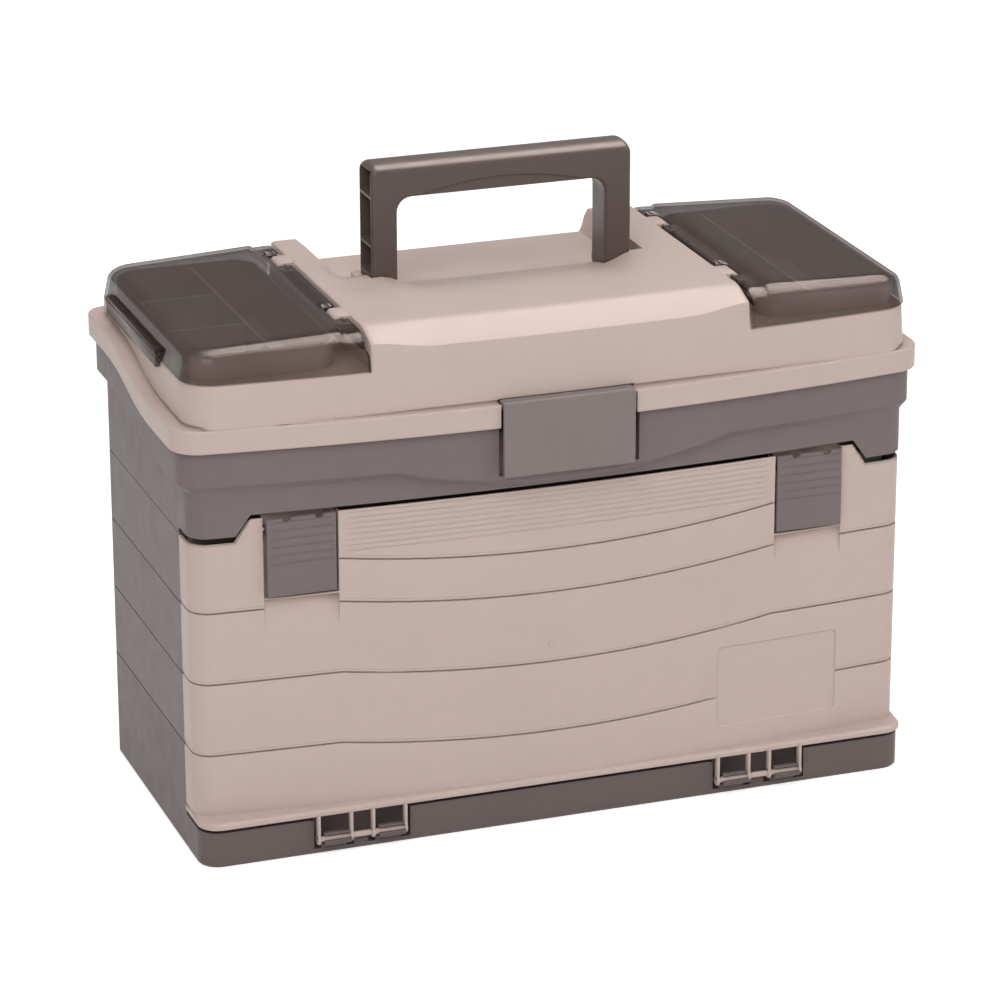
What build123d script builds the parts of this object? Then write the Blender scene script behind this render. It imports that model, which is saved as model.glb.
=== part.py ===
from build123d import *
import os

os.makedirs("parts", exist_ok=True)

# Frame: X to the right, -Y is the front, Z up, z = 0 is the floor the box stands on.

# cabinet outline
half_width = 247.0          # sides of base, frames, tray and door
cabinet_rear = 107.8
base_front = -107.8         # straight front of the bottom pan
door_seam_y = -69.5         # the door wraps the front corners back to here
rear_corner_r = 9.0
front_corner_r = 14.0
wall = 2.6

# levels
deck_top = 24.2             # top of the bottom pan, under the lowest drawer
deck_thick = 2.6
pan_rib_xs = (-164.0, -82.0, 0.0, 82.0, 164.0)
pan_rib_ys = (-40.0, 35.0)
base_bay = 49.7             # bay of the lowest drawer
level_pitch = 48.7
level_count = 4
tray_seam = deck_top + base_bay + (level_count - 1) * level_pitch    # top of the upper frame
seam_chamfer = 1.0          # small bevel that draws each seam line

# drawer runners and drawers
post_x = 11.0               # corner post section
post_y = 12.0
rail_thick = 2.5
rail_width = 25.0
rail_lift = 2.2             # underside of a runner above its level's seam
drawer_half_width = half_width - wall - post_x - 3.4    # clear of the corner posts
drawer_gap = 0.35           # drawer floor above its runner
drawer_height = 38.0
drawer_wall = 2.0
drawer_rear = cabinet_rear - wall - 7.2
drawer_corner_r = 6.0
plate_thick = 4.0           # front plate of a drawer
plate_half_width = half_width - wall - 2.4
plate_gap = 0.7             # front plate before the frame's edge
plate_margin = 1.6          # front plate above its own level's seam
plate_drop = 2.2            # front plate below the seam over it
pull_width = 96.0
pull_height = 15.0
divider_thick = 1.6
divider_counts = (3, 4, 5, 2)   # plates of each drawer, from the top drawer down

# stack screws
screw_r = 2.0
screw_clear = 0.3
screw_head_r = 4.2
screw_head_h = 3.2
screw_foot = 1.5            # underside of the screw heads
screw_inset_x = 8.2         # screw axis from the outer side
screw_inset_y = 6.2

# front door
door_front = base_front - 0.2    # middle of the bowed face
door_bow = 12.0             # the corners lie this much further back
door_edge_top = tray_seam - 1.0
door_mid_top = tray_seam + 14.4    # raised middle, under the tray's raised edge
flange_front = base_front - 3.0    # straight foot flange
flange_height = 6.0
flange_depth = 10.8          # foot flange from its front to its rear edge
ledge_height = 9.0
groove_width = 1.7
groove_depth = 1.1
line_sag = 10.8
line_heights = (172.3, 123.4, 74.1)
top_line_height = tray_seam - 18.2    # wavy line between the latches
top_line_sag = 11.0
label_x = half_width - 92.0
label_z = 76.0
label_width = 88.0
label_height = 57.0
label_depth = 0.7
rib_count = 8
rib_pitch = 3.7
rib_depth = 0.45
rib_top = door_mid_top - 2.6
stiffener_xs = (-82.0, 0.0, 82.0)    # upright ribs on the door's inside

# door hinge at the foot
door_axis_y = base_front - 2.0
door_axis_z = 10.9
bar_r = 2.3
running_gap = 0.07
fixed_gap = 0.02            # round a pin that stays put
arm_r = 3.7
arm_width = 3.0
arm_offsets = (-28.2, -6.0, 9.0, 31.2)      # arm centres in one hinge group
hinge_group_x = half_width - 107.0
window_half = 34.0
window_depth = 10.0
knuckle_r = 4.5

# door latches
latch_x = half_width - 71.5
latch_width = 46.0
latch_low = tray_seam - 39.0
latch_top = door_mid_top - 0.4
latch_plate = 3.0
latch_proud = 2.4           # latch face before the door face at its middle
latch_gap = 1.4
pocket_depth = 8.0
latch_axis_z = latch_top - 8.0
latch_axis_in = 4.2         # pin axis behind the door face
latch_pin_r = 1.5
latch_groove_pitch = 5.6
latch_groove_top = latch_top - 3.2
latch_groove_count = 6
scoop_low = latch_low - 20.0
scoop_depth = 5.5
scoop_bar = 1.2             # bar between a pocket and the scoop under it

# what keeps clear of the latches
shoulder_flat = 8.1         # the raised top runs on this far beside a pocket
shoulder_run = 10.0
door_mid_half = latch_x + latch_width / 2 + latch_gap + shoulder_flat
door_slope_half = door_mid_half + shoulder_run
kink_x = latch_x - 25.5     # the seam lines dip between here
rib_half = kink_x - 2.0

# tray
tray_front = door_front - 1.6
tray_bow = 12.6
tray_lip = tray_seam + 3.5    # low corner lips over the door's shoulders
tray_mid = door_mid_top + 2.9    # raised edge over the door's middle
tray_floor = tray_seam + 4.0
band_proud = 5.2
band_front = tray_front - 6.6
band_bow = 18.0
band_drop = 24.3            # lower edge of the proud band below the rim line
wave_low = tray_mid + 5.7
wave_half = 117.0
band_rear = cabinet_rear + 8.6
tray_wall = 3.0

# parting line between tray and lid, seen from the side
rim_rear_z = tray_seam + 79.0
rim_front_z = rim_rear_z - 16.5
rim_bend_rear = 75.0
rim_bend_front = -50.0

# lid
rim_half = half_width + 9.4
rim_front = band_front - 4.4
rim_bow = 19.0
rim_rear = band_rear + 4.6
rim_height = 15.5
rim_wall = 3.0
rim_corner_r = 20.0
rim_overlap = 10.6          # the tray wall reaches this far up inside the rim
rim_clear = 0.4
body_half = half_width + 1.0
body_half_bend = body_half - 1.6
body_half_top = body_half - 8.0
body_front = rim_front + 4.8
body_front_bend = body_front + 4.3    # the front leans back above the bend
body_front_top = body_front + 23.8
body_bow = 12.2
body_rear = rim_rear - 8.0
body_rear_bend = body_rear - 0.8
body_rear_top = body_rear - 4.0
body_foot = rim_front_z + 8.5
body_bend = body_foot + 50.0
body_top = body_bend + 10.5
body_corner_r = 22.0
body_edge_r = 2.5
shell = 3.0

# wells and their smoke lids
hinge_side = 129.0          # centre block of the lid begins here
seat_z = body_top - 25.1    # shoulder that the smoke lids stand over
coaming_top = body_top - 8.5
well_outer = body_half - 9.0
well_inner = hinge_side + 18.0
well_front = body_front + 23.8
well_rear = body_rear - 12.0
well_floor = coaming_top - 38.0
well_wall = 2.2
well_corner_r = 18.0
smoke_edge = hinge_side + 3.0
smoke_outer = body_half
smoke_outer_top = smoke_outer - 5.0
smoke_top = body_top + 0.7
smoke_outer_drop = 4.0      # the top falls this much towards the outside
smoke_wall = 2.2
smoke_front = body_front + 2.8
smoke_front_top = smoke_front + 6.0
smoke_bow = 12.2
smoke_rear = body_rear + 1.0
smoke_rear_top = smoke_rear - 5.0
smoke_gap = 0.6
smoke_corner_r = 22.0
smoke_edge_r = 6.0
smoke_axis_x = smoke_edge + 3.6
smoke_axis_z = smoke_top - 4.8
smoke_pin_r = 1.5
smoke_bead_r = 3.2
smoke_bead_length = 9.0
smoke_lip_drop = 6.4        # the hinge edge turns down this far below the axis
smoke_hinge_ys = (67.0, -55.0)
tab_length = 18.0
notch_length = 26.0
knuckle_wall = 2.0
snap_bar_length = 120.0
snap_bar_y = 21.0
snap_bar_proud = 3.0
snap_bar_low = seat_z - 4.9
snap_bar_top = seat_z + 7.1
well_divider_thick = 1.6
well_divider_top = coaming_top - 2.0
left_divider_share = 0.435    # place of each long divider across its well, from the inner wall
right_divider_share = 0.348
left_long_divider = well_inner + left_divider_share * (well_outer - well_inner)
right_long_divider = well_inner + right_divider_share * (well_outer - well_inner)
left_cross_ys = (38.0, -28.5)

# handle
handle_half = 90.5
leg_width = 18.0
handle_axis_z = body_top - 9.5
handle_top = handle_axis_z + 83.6
grip_height = 23.0
handle_front = 6.5
handle_depth = 27.0
handle_wall = 2.6
handle_outer_r = 5.0
handle_inner_r = 10.0
handle_axis_y = 28.0
handle_foot_r = 5.5
handle_pin_r = 2.5
handle_boss = 6.0
web_heights = (handle_top - 22.6, handle_top - 55.6)
web_thick = 1.6
grip_recess_half = 62.0
grip_recess_rise = 9.0
grip_recess_depth = 1.4
leg_gap = 1.0
slot_extra = 7.0            # each slot is this much wider on its right
slot_floor = body_top - 25.5

# dish that the folded handle lies in
dish_floor = body_top - 15.7
dish_left = 96.0
dish_right = 92.0
dish_left_slope = 17.0
dish_right_slope = 5.0
dish_start = -52.0
dish_end = 62.0

# lid latch
lid_latch_half = 45.0
lid_latch_low = rim_front_z - 32.9
lid_latch_front = rim_front - 2.8
lid_latch_top = rim_front_z + 17.7
lid_latch_plate = 3.0
lid_latch_flange_rear = rim_front + 11.4
lid_latch_axis_y = rim_front + 3.0
lid_latch_axis_z = lid_latch_top - 4.0
lid_latch_pin_r = 1.4
lid_latch_cheek_r = 2.9
lid_latch_gap = 1.5
latch_wall_y = band_front + 3.4    # recessed wall of the tray behind the latch
catch_z = lid_latch_low + 11.4    # underside of the catch ridge on that wall

# lid hinge at the rear
lid_axis_y = rim_rear + 1.5
lid_axis_z = rim_rear_z
lid_pin_r = 2.0
lid_knuckle_r = 3.6
lid_hinge_x = half_width - 97.0
lid_knuckle_half = 8.0
ear_width = 11.0
ear_gap = 0.4


def seam(level):
    """Height of the seam under level 1 (top) ... 4 (bottom); seam(0) is the tray seam."""
    return tray_seam - level * level_pitch


def block(x0, x1, y0, y1, z0, z1):
    return Pos((x0 + x1) / 2, (y0 + y1) / 2, (z0 + z1) / 2) * Box(x1 - x0, y1 - y0, z1 - z0)


def rod_x(x0, x1, y, z, r):
    return Pos((x0 + x1) / 2, y, z) * Rot(0, 90, 0) * Cylinder(r, x1 - x0)


def rod_y(y0, y1, x, z, r):
    return Pos(x, (y0 + y1) / 2, z) * Rot(90, 0, 0) * Cylinder(r, y1 - y0)


def rod_z(z0, z1, x, y, r):
    return Pos(x, y, (z0 + z1) / 2) * Cylinder(r, z1 - z0)


def outline(half, front, bow, rear, front_r, rear_r):
    """Plan of a piece with a bowed front: a closed face in the XY plane."""
    side = front + bow
    if bow > 0:
        front_edge = ThreePointArc((-half, side), (0, front), (half, side))
    else:
        front_edge = Line((-half, side), (half, side))
    edges = [front_edge, Line((half, side), (half, rear)), Line((half, rear), (-half, rear)),
             Line((-half, rear), (-half, side))]
    face = make_face(edges)
    if front_r > 0:
        face = fillet(face.vertices().sort_by(Axis.Y)[:2], front_r)
    if rear_r > 0:
        face = fillet(face.vertices().sort_by(Axis.Y)[-2:], rear_r)
    return face


def prism(face, z0, z1):
    return extrude(Pos(0, 0, z0) * face, z1 - z0)


def side_prism(edges, x0, x1):
    """Solid from a closed profile drawn in (y, z), spanning x0 to x1."""
    face = make_face(edges)
    return extrude(Plane.YZ.offset(x0) * face, x1 - x0)


def front_prism(edges, y0, y1):
    """Solid from a closed profile drawn in (x, z), spanning y0 to y1."""
    face = make_face(edges)
    return extrude(Plane.XZ.offset(-y1) * face, y1 - y0)


def rim_line(lift, top=None, bottom=None):
    """Everything above (top given) or below (bottom given) the lifted parting line."""
    y_low, y_high = -200.0, 200.0
    rear = rim_rear_z + lift
    front = rim_front_z + lift
    mid = (rim_bend_rear + rim_bend_front) / 2
    limit = top if top is not None else bottom
    curve = [Line((y_high, rear), (rim_bend_rear, rear)),
             Bezier((rim_bend_rear, rear), (mid, rear), (mid, front), (rim_bend_front, front)),
             Line((rim_bend_front, front), (y_low, front)),
             Line((y_low, front), (y_low, limit)), Line((y_low, limit), (y_high, limit)),
             Line((y_high, limit), (y_high, rear))]
    return side_prism(curve, -300, 300)


def stack_screw_places():
    places = []
    for x in (-1, 1):
        places.append((x * (half_width - screw_inset_x), door_seam_y + screw_inset_y))
        places.append((x * (half_width - screw_inset_x), cabinet_rear - screw_inset_y))
    return places


def frame_ring(z0, z1, bevel=0.0):
    """Side and rear walls of one level with its corner posts, runners and screw holes."""
    face = outline(half_width, door_seam_y, 0, cabinet_rear, 0, rear_corner_r)
    outer = prism(face, z0, z1)
    if bevel > 0:
        outer = chamfer(outer.faces().sort_by(Axis.Z)[0].edges(), bevel)
    inner_half = half_width - wall
    cavity = prism(outline(inner_half, door_seam_y - 5, 0, cabinet_rear - wall, 0, rear_corner_r - wall),
                   z0 - 1, z1 + 1)
    ring = outer - cavity
    for sx in (-1, 1):
        x_out = sx * inner_half
        x_post = sx * (inner_half - post_x)
        x_rail = sx * (inner_half - rail_width)
        for y0 in (door_seam_y, cabinet_rear - wall - post_y):
            ring += block(min(x_out, x_post), max(x_out, x_post), y0, y0 + post_y, z0, z1)
        ring += block(min(x_out, x_rail), max(x_out, x_rail), door_seam_y, cabinet_rear - wall,
                      z0 + rail_lift, z0 + rail_lift + rail_thick)
        ring += block(min(x_out, sx * (drawer_half_width + 1.0)), max(x_out, sx * (drawer_half_width + 1.0)),
                      door_seam_y + post_y, cabinet_rear - wall - post_y, z1 - 9.0, z1 - 9.0 + rail_thick)
    ring += block(-inner_half, inner_half, cabinet_rear - wall - 9.0, cabinet_rear - wall,
                  z0 + rail_lift, z0 + rail_lift + rail_thick)
    for x, y in stack_screw_places():
        ring -= rod_z(z0 - 2, z1 + 2, x, y, screw_r + screw_clear)
    return ring


def base_frame():
    """Bottom pan with the lowest drawer bay on it and the door's hook knuckles."""
    pan_face = outline(half_width, base_front, 0, cabinet_rear, front_corner_r, rear_corner_r)
    pan = prism(pan_face, 0, deck_top)
    pan = chamfer(pan.faces().sort_by(Axis.Z)[0].edges(), 1.2)
    pan -= prism(offset(pan_face, -wall - 0.6), -1, deck_top - deck_thick)
    for x in pan_rib_xs:
        pan += block(x - 1.0, x + 1.0, base_front + 13.0, cabinet_rear - 2.0, 3.0, deck_top - 1.0)
    for y in pan_rib_ys:
        pan += block(-half_width + 2.0, half_width - 2.0, y - 1.0, y + 1.0, 3.0, deck_top - 1.0)
    bay = frame_ring(deck_top, seam(level_count - 1))
    pan += bay
    for x, y in stack_screw_places():
        pan += rod_z(1.0, deck_top, x, y, screw_head_r + 1.4)
        pan -= rod_z(0.5, deck_top + 4.0, x, y, screw_r + screw_clear)
        pan -= rod_z(-1.0, screw_foot + screw_head_h, x, y, screw_head_r + screw_clear)
    for sx in (-1, 1):
        pan += block(sx * hinge_group_x - window_half - 2.4, sx * hinge_group_x + window_half + 2.4,
                     base_front + 1.0, base_front + window_depth + 2.4, 1.2, deck_top - 1.0)
        pan -= block(sx * hinge_group_x - window_half, sx * hinge_group_x + window_half,
                     base_front - 5.0, base_front + window_depth, 3.4, deck_top + 0.1)
        for a, b in ((0, 1), (2, 3)):
            x0 = sx * hinge_group_x + arm_offsets[a] + arm_width / 2 + 0.5
            x1 = sx * hinge_group_x + arm_offsets[b] - arm_width / 2 - 0.5
            knuckle = rod_x(x0, x1, door_axis_y, door_axis_z, knuckle_r)
            knuckle += block(x0, x1, door_axis_y, base_front + window_depth + 0.5,
                             door_axis_z - knuckle_r, door_axis_z + 1.0)
            knuckle -= rod_x(x0 - 1, x1 + 1, door_axis_y, door_axis_z, bar_r + running_gap)
            knuckle -= block(x0 - 1, x1 + 1, door_axis_y - 8, door_axis_y + 1.0, door_axis_z - 0.2,
                             door_axis_z + 3.4)
            pan += knuckle
    return pan


def tray_outline(extra=0.0):
    return outline(half_width + extra, tray_front - extra, tray_bow, cabinet_rear + extra,
                   front_corner_r, rear_corner_r)


def band_outline(inset=0.0):
    return outline(half_width + band_proud - inset, band_front + inset, band_bow, band_rear - inset,
                   front_corner_r + 3.0 - inset, rear_corner_r + 3.0 - inset)


def top_tray():
    """Bulk tray with low corner lips, proud upper band with a wavy lower edge, and hinge knuckles."""
    lower = prism(tray_outline(), tray_seam, 330) & rim_line(0, bottom=200)
    high = 400.0
    shoulder = [Line((-300, 190), (-300, tray_lip)), Line((-300, tray_lip), (-door_slope_half, tray_lip)),
                Line((-door_slope_half, tray_lip), (-door_mid_half, tray_mid)),
                Line((-door_mid_half, tray_mid), (door_mid_half, tray_mid)),
                Line((door_mid_half, tray_mid), (door_slope_half, tray_lip)),
                Line((door_slope_half, tray_lip), (300, tray_lip)), Line((300, tray_lip), (300, 190)),
                Line((300, 190), (-300, 190))]
    lower -= front_prism(shoulder, -200, door_seam_y)
    band = prism(band_outline(), 230, 330)
    band_body = band & rim_line(-band_drop, top=high) & rim_line(rim_overlap, bottom=200)
    step = rim_front_z - band_drop
    tongue = [ThreePointArc((-wave_half, step + 0.5), (0, wave_low), (wave_half, step + 0.5)),
              Line((wave_half, step + 0.5), (-wave_half, step + 0.5))]
    band_body += band & front_prism(tongue, -200, -80)
    tray = lower + band_body
    inner_face = outline(half_width - tray_wall, door_seam_y + 14.0, 0, cabinet_rear - tray_wall, 12, 8)
    bin_low = outline(half_width - tray_wall, tray_front + 8.6, tray_bow, cabinet_rear - tray_wall, 14, 8)
    tray -= prism(inner_face, tray_floor, 400)
    tray -= prism(bin_low, tray_mid + tray_wall, 400)
    tray -= prism(band_outline(tray_wall), 230, 400) & rim_line(3.0 - band_drop, top=high)
    for x, y in stack_screw_places():
        tray += rod_z(tray_seam, tray_seam + 16.0, x, y, screw_head_r + 1.6)
        tray -= rod_z(tray_seam - 1, tray_seam + 12.0, x, y, screw_r + 0.1)
    gap = lid_latch_half + lid_latch_gap
    side = gap + shell + 1.0
    tray -= block(-side, side, -140, lid_latch_flange_rear + 8.0, rim_front_z - 0.5, 330)
    tray += block(-gap - 6.0, gap + 6.0, latch_wall_y - 1.4, latch_wall_y + 3.4, lid_latch_low - 4.0,
                  rim_front_z - 1.0)
    tray -= block(-gap, gap, -140, latch_wall_y, lid_latch_low - 1.0, rim_front_z + 5.0)
    tray += block(-lid_latch_half + 6, lid_latch_half - 6, latch_wall_y - 2.4, latch_wall_y + 0.5,
                  catch_z, catch_z + 3.0)
    for sx in (-1, 1):
        x0 = sx * lid_hinge_x - lid_knuckle_half
        x1 = sx * lid_hinge_x + lid_knuckle_half
        web = [Line((band_rear - 1.5, lid_axis_z), (lid_axis_y + lid_knuckle_r, lid_axis_z)),
               Line((lid_axis_y + lid_knuckle_r, lid_axis_z), (band_rear - 1.5, lid_axis_z - 14.0)),
               Line((band_rear - 1.5, lid_axis_z - 14.0), (band_rear - 1.5, lid_axis_z))]
        tray += rod_x(x0, x1, lid_axis_y, lid_axis_z, lid_knuckle_r) + side_prism(web, x0, x1)
        tray -= rod_x(x0 - 1, x1 + 1, lid_axis_y, lid_axis_z, lid_pin_r + fixed_gap)
    return tray


def drawer(level):
    """Open bin with a front plate, finger pull and divider slots."""
    z0 = (seam(level) if level < level_count else deck_top) + rail_lift + rail_thick + drawer_gap
    front_y = door_seam_y - plate_gap
    low_seam = seam(level) if level < level_count else deck_top + 3.0
    bin_body = block(-drawer_half_width, drawer_half_width, front_y - 1, drawer_rear, z0, z0 + drawer_height)
    bin_body = fillet(bin_body.edges().filter_by(Axis.Z).sort_by(Axis.Y)[-2:], drawer_corner_r)
    hollow = block(-drawer_half_width + drawer_wall, drawer_half_width - drawer_wall,
                   front_y + drawer_wall, drawer_rear - drawer_wall, z0 + drawer_wall, z0 + 90)
    hollow = fillet(hollow.edges().filter_by(Axis.Z).sort_by(Axis.Y)[-2:], drawer_corner_r - drawer_wall)
    bin_body -= hollow
    plate = block(-plate_half_width, plate_half_width, front_y - plate_thick, front_y,
                  low_seam + plate_margin, seam(level - 1) - plate_drop)
    plate = fillet(plate.edges().filter_by(Axis.Y), 4.0)
    plate = chamfer(plate.faces().sort_by(Axis.Y)[0].edges(), 0.9)
    middle = (low_seam + seam(level - 1)) / 2 + 3.0
    pull_hole = block(-pull_width / 2, pull_width / 2, front_y - plate_thick - 1, front_y - 1.6,
                      middle - pull_height / 2, middle + pull_height / 2)
    pull_hole = fillet(pull_hole.edges().filter_by(Axis.Y), 5.0)
    pull_lip = block(-pull_width / 2 - 3, pull_width / 2 + 3, front_y - plate_thick - 3.0,
                     front_y - plate_thick, middle + pull_height / 2, middle + pull_height / 2 + 2.4)
    body = bin_body + plate - pull_hole + pull_lip
    for x in divider_places(level):
        for y in (front_y + drawer_wall, drawer_rear - drawer_wall):
            for side in (-1, 1):
                rib_x = x + side * (divider_thick / 2 + 0.25 + 0.6)
                body += block(rib_x - 0.6, rib_x + 0.6, y - 1.8, y + 1.8, z0 + 1.0, z0 + drawer_height)
    return body


def divider_places(level):
    count = divider_counts[level - 1]
    span = 2 * (drawer_half_width - drawer_wall)
    return [span * (i + 1) / (count + 1) - span / 2 for i in range(count)]


def drawer_dividers(level):
    z0 = (seam(level) if level < level_count else deck_top) + rail_lift + rail_thick + drawer_gap
    front_y = door_seam_y - plate_gap
    plates = []
    for x in divider_places(level):
        plates.append(block(x - divider_thick / 2, x + divider_thick / 2, front_y + drawer_wall + 0.3,
                            drawer_rear - drawer_wall - 0.3, z0 + drawer_wall + 0.1,
                            z0 + drawer_height - 1.5))
    return Compound(children=plates)


def door_outline(inset=0.0):
    return outline(half_width - inset, door_front + inset, door_bow, door_seam_y, front_corner_r - inset, 0)


def seam_ribbon(height, sag, half, width, reach):
    """Thin slab that follows one dipped line of the front, drawn in (x, z)."""
    low = height - width / 2
    high = height + width / 2
    edges = [ThreePointArc((-half, low), (0, low - sag), (half, low)),
             ThreePointArc((-half, high), (0, high - sag), (half, high))]
    if reach > half:
        edges += [Line((half, low), (reach, low)), Line((reach, low), (reach, high)),
                  Line((reach, high), (half, high)), Line((-half, high), (-reach, high)),
                  Line((-reach, high), (-reach, low)), Line((-reach, low), (-half, low))]
    else:
        edges += [Line((half, low), (half, high)), Line((-half, high), (-half, low))]
    return front_prism(edges, -200, door_seam_y + 1)


def door_face_y(x):
    """Place of the bowed door face at x."""
    return door_front + door_bow * (x / half_width) ** 2


def front_door():
    """Bowed door with wrapped corners, foot flange, latch pockets, seam lines and hinge arms."""
    foot = deck_top + 0.5
    solid = prism(door_outline(), foot, door_mid_top)
    hollow = prism(door_outline(wall), foot - 1, door_mid_top + 1)
    hollow += block(-half_width + wall, half_width - wall, door_seam_y - 12, door_seam_y + 5,
                    foot - 1, door_mid_top + 1)
    flange_face = outline(half_width, flange_front, 0, door_seam_y, front_corner_r, 0)
    flange = prism(flange_face, foot, foot + flange_height)
    ledge_front = (flange_front + door_front) / 2
    ledge_face = outline(half_width, ledge_front, door_bow / 2, door_seam_y, front_corner_r, 0)
    ledge = prism(ledge_face, foot, foot + ledge_height)
    ledge = chamfer(ledge.faces().sort_by(Axis.Z)[-1].edges().sort_by(Axis.Y)[0], 1.6)
    flange = chamfer(flange.faces().sort_by(Axis.Z)[-1].edges().sort_by(Axis.Y)[0], 2.4)
    foot_cut = block(-half_width + wall, half_width - wall, flange_front + flange_depth, door_seam_y + 5,
                     foot - 1, foot + 20)
    skin = solid + ledge + flange
    door = skin - hollow
    ledge_inside = outline(half_width - wall, ledge_front + wall, door_bow / 2, door_seam_y,
                           front_corner_r - wall, 0)
    door += ((ledge + flange) - foot_cut - prism(door_outline(wall), foot + wall, foot + 40)
             - prism(ledge_inside, foot + wall, foot + ledge_height - wall))
    shoulders = [Line((-300, door_edge_top), (-door_slope_half, door_edge_top)),
                 Line((-door_slope_half, door_edge_top), (-door_mid_half, door_mid_top)),
                 Line((-door_mid_half, door_mid_top), (door_mid_half, door_mid_top)),
                 Line((door_mid_half, door_mid_top), (door_slope_half, door_edge_top)),
                 Line((door_slope_half, door_edge_top), (300, door_edge_top)),
                 Line((300, door_edge_top), (300, 300)), Line((300, 300), (-300, 300)),
                 Line((-300, 300), (-300, door_edge_top))]
    cut_top = front_prism(shoulders, -200, -50)
    door -= cut_top
    skin_zone = skin - prism(door_outline(groove_depth), 0, 300)
    for height in line_heights:
        door -= seam_ribbon(height, line_sag, kink_x, groove_width, 280) & skin_zone
    door -= seam_ribbon(top_line_height, top_line_sag, kink_x, groove_width, kink_x) & skin_zone
    rib_zone = skin - prism(door_outline(rib_depth), 0, 300)
    for i in range(rib_count):
        z = rib_top - i * rib_pitch
        door -= block(-rib_half, rib_half, -140, -80, z - 0.5, z + 0.5) & rib_zone
    label_zone = skin - prism(door_outline(label_depth), 0, 300)
    label = Pos(label_x, -100, label_z) * Box(label_width, 60, label_height)
    label = fillet(label.edges().filter_by(Axis.Y), 7.0)
    door -= label & label_zone
    for sx in (-1, 1):
        x0 = sx * latch_x - latch_width / 2 - latch_gap
        x1 = sx * latch_x + latch_width / 2 + latch_gap
        face_y = door_face_y(latch_x)
        pocket_back = face_y + pocket_depth
        housing = block(x0 - wall, x1 + wall, face_y - 1.0, pocket_back + wall, latch_low - 5.0,
                        door_mid_top)
        scoop_back_y = face_y + scoop_depth
        scoop_top = latch_low - latch_gap - scoop_bar
        scoop_wedge = [Line((face_y - 8, scoop_low), (face_y, scoop_low)),
                       Line((face_y, scoop_low), (scoop_back_y, scoop_top)),
                       Line((scoop_back_y, scoop_top), (face_y - 8, scoop_top)),
                       Line((face_y - 8, scoop_top), (face_y - 8, scoop_low))]
        scoop_back = [Line((face_y - 1.0, scoop_low - 4), (face_y + wall, scoop_low - 4)),
                      Line((face_y + wall, scoop_low - 4), (scoop_back_y + wall, scoop_top)),
                      Line((scoop_back_y + wall, scoop_top), (face_y - 1.0, scoop_top)),
                      Line((face_y - 1.0, scoop_top), (face_y - 1.0, scoop_low - 4))]
        housing += side_prism(scoop_back, x0 - wall, x1 + wall)
        door += housing & prism(door_outline(wall / 2), 0, 300)
        door -= block(x0, x1, face_y - 12, pocket_back, latch_low - latch_gap, door_mid_top + 1)
        door -= side_prism(scoop_wedge, x0, x1)
        door -= rod_x(x0 - wall - 1, x1 + wall + 1, face_y + latch_axis_in, latch_axis_z,
                      latch_pin_r + fixed_gap)
        centre = sx * hinge_group_x
        for arm in arm_offsets:
            xa = centre + arm - arm_width / 2
            xb = centre + arm + arm_width / 2
            door += rod_x(xa, xb, door_axis_y, door_axis_z, arm_r)
            door += block(xa, xb, door_axis_y - arm_r + 0.6, door_axis_y + 2.4, door_axis_z, foot + 1.0)
        door += rod_x(centre + arm_offsets[0], centre + arm_offsets[-1], door_axis_y, door_axis_z, bar_r)
    for x in stiffener_xs:
        rib = block(x - 1.2, x + 1.2, door_face_y(x) + wall - 0.5, door_face_y(x) + wall + 5.0, 60.0, 215.0)
        door += rib
    door += block(-half_width + 1.0, half_width - 1.0, door_face_y(0) + wall - 0.5, door_seam_y - 24.0,
                  118.0, 120.4) & prism(door_outline(wall / 2), 100, 140)
    pip = Pos(-8.0, door_face_y(-8.0), 124.9) * Rot(90, 0, 0) * Cylinder(2.0, 1.2)
    door += pip
    return door


def door_latch(sx):
    """Grooved latch plate with side cheeks bored for its pin."""
    face_y = door_face_y(latch_x)
    front = face_y - latch_proud
    x0 = sx * latch_x - latch_width / 2
    x1 = sx * latch_x + latch_width / 2
    axis_y = face_y + latch_axis_in
    plate = block(x0, x1, front, front + latch_plate, latch_low, latch_top)
    plate = fillet(plate.edges().filter_by(Axis.X).sort_by(Axis.Y)[:2], 1.0)
    for i in range(latch_groove_count):
        z = latch_groove_top - i * latch_groove_pitch
        plate -= block(x0 + 2.5, x1 - 2.5, front - 1, front + 0.8, z - 0.6, z + 0.6)
    for x in (-10.0, 12.0):
        plate -= Pos(sx * latch_x + x, front, latch_top) * Rot(90, 0, 0) * Cylinder(3.0, 20)
    latch = plate
    for x, width in ((x0, 2.6), (x1 - 2.6, 2.6), (sx * latch_x - 1.5, 3.0)):
        cheek = rod_x(x, x + width, axis_y, latch_axis_z, 3.2)
        cheek += block(x, x + width, front + 1.0, axis_y, latch_axis_z - 3.2, latch_axis_z + 3.2)
        latch += cheek
    latch += block(x0, x1, front + 1, front + latch_plate + 1.6, latch_low, latch_low + 2.4)
    latch += Pos(sx * latch_x - 1.0, front, 216.6) * Rot(90, 0, 0) * Cylinder(1.5, 1.4)
    latch -= rod_x(x0 - 1, x1 + 1, axis_y, latch_axis_z, latch_pin_r + running_gap)
    return latch


def door_latch_pin(sx):
    x0 = sx * latch_x - latch_width / 2 - latch_gap - wall
    x1 = sx * latch_x + latch_width / 2 + latch_gap + wall
    return rod_x(x0, x1, door_face_y(latch_x) + latch_axis_in, latch_axis_z, latch_pin_r)


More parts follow.
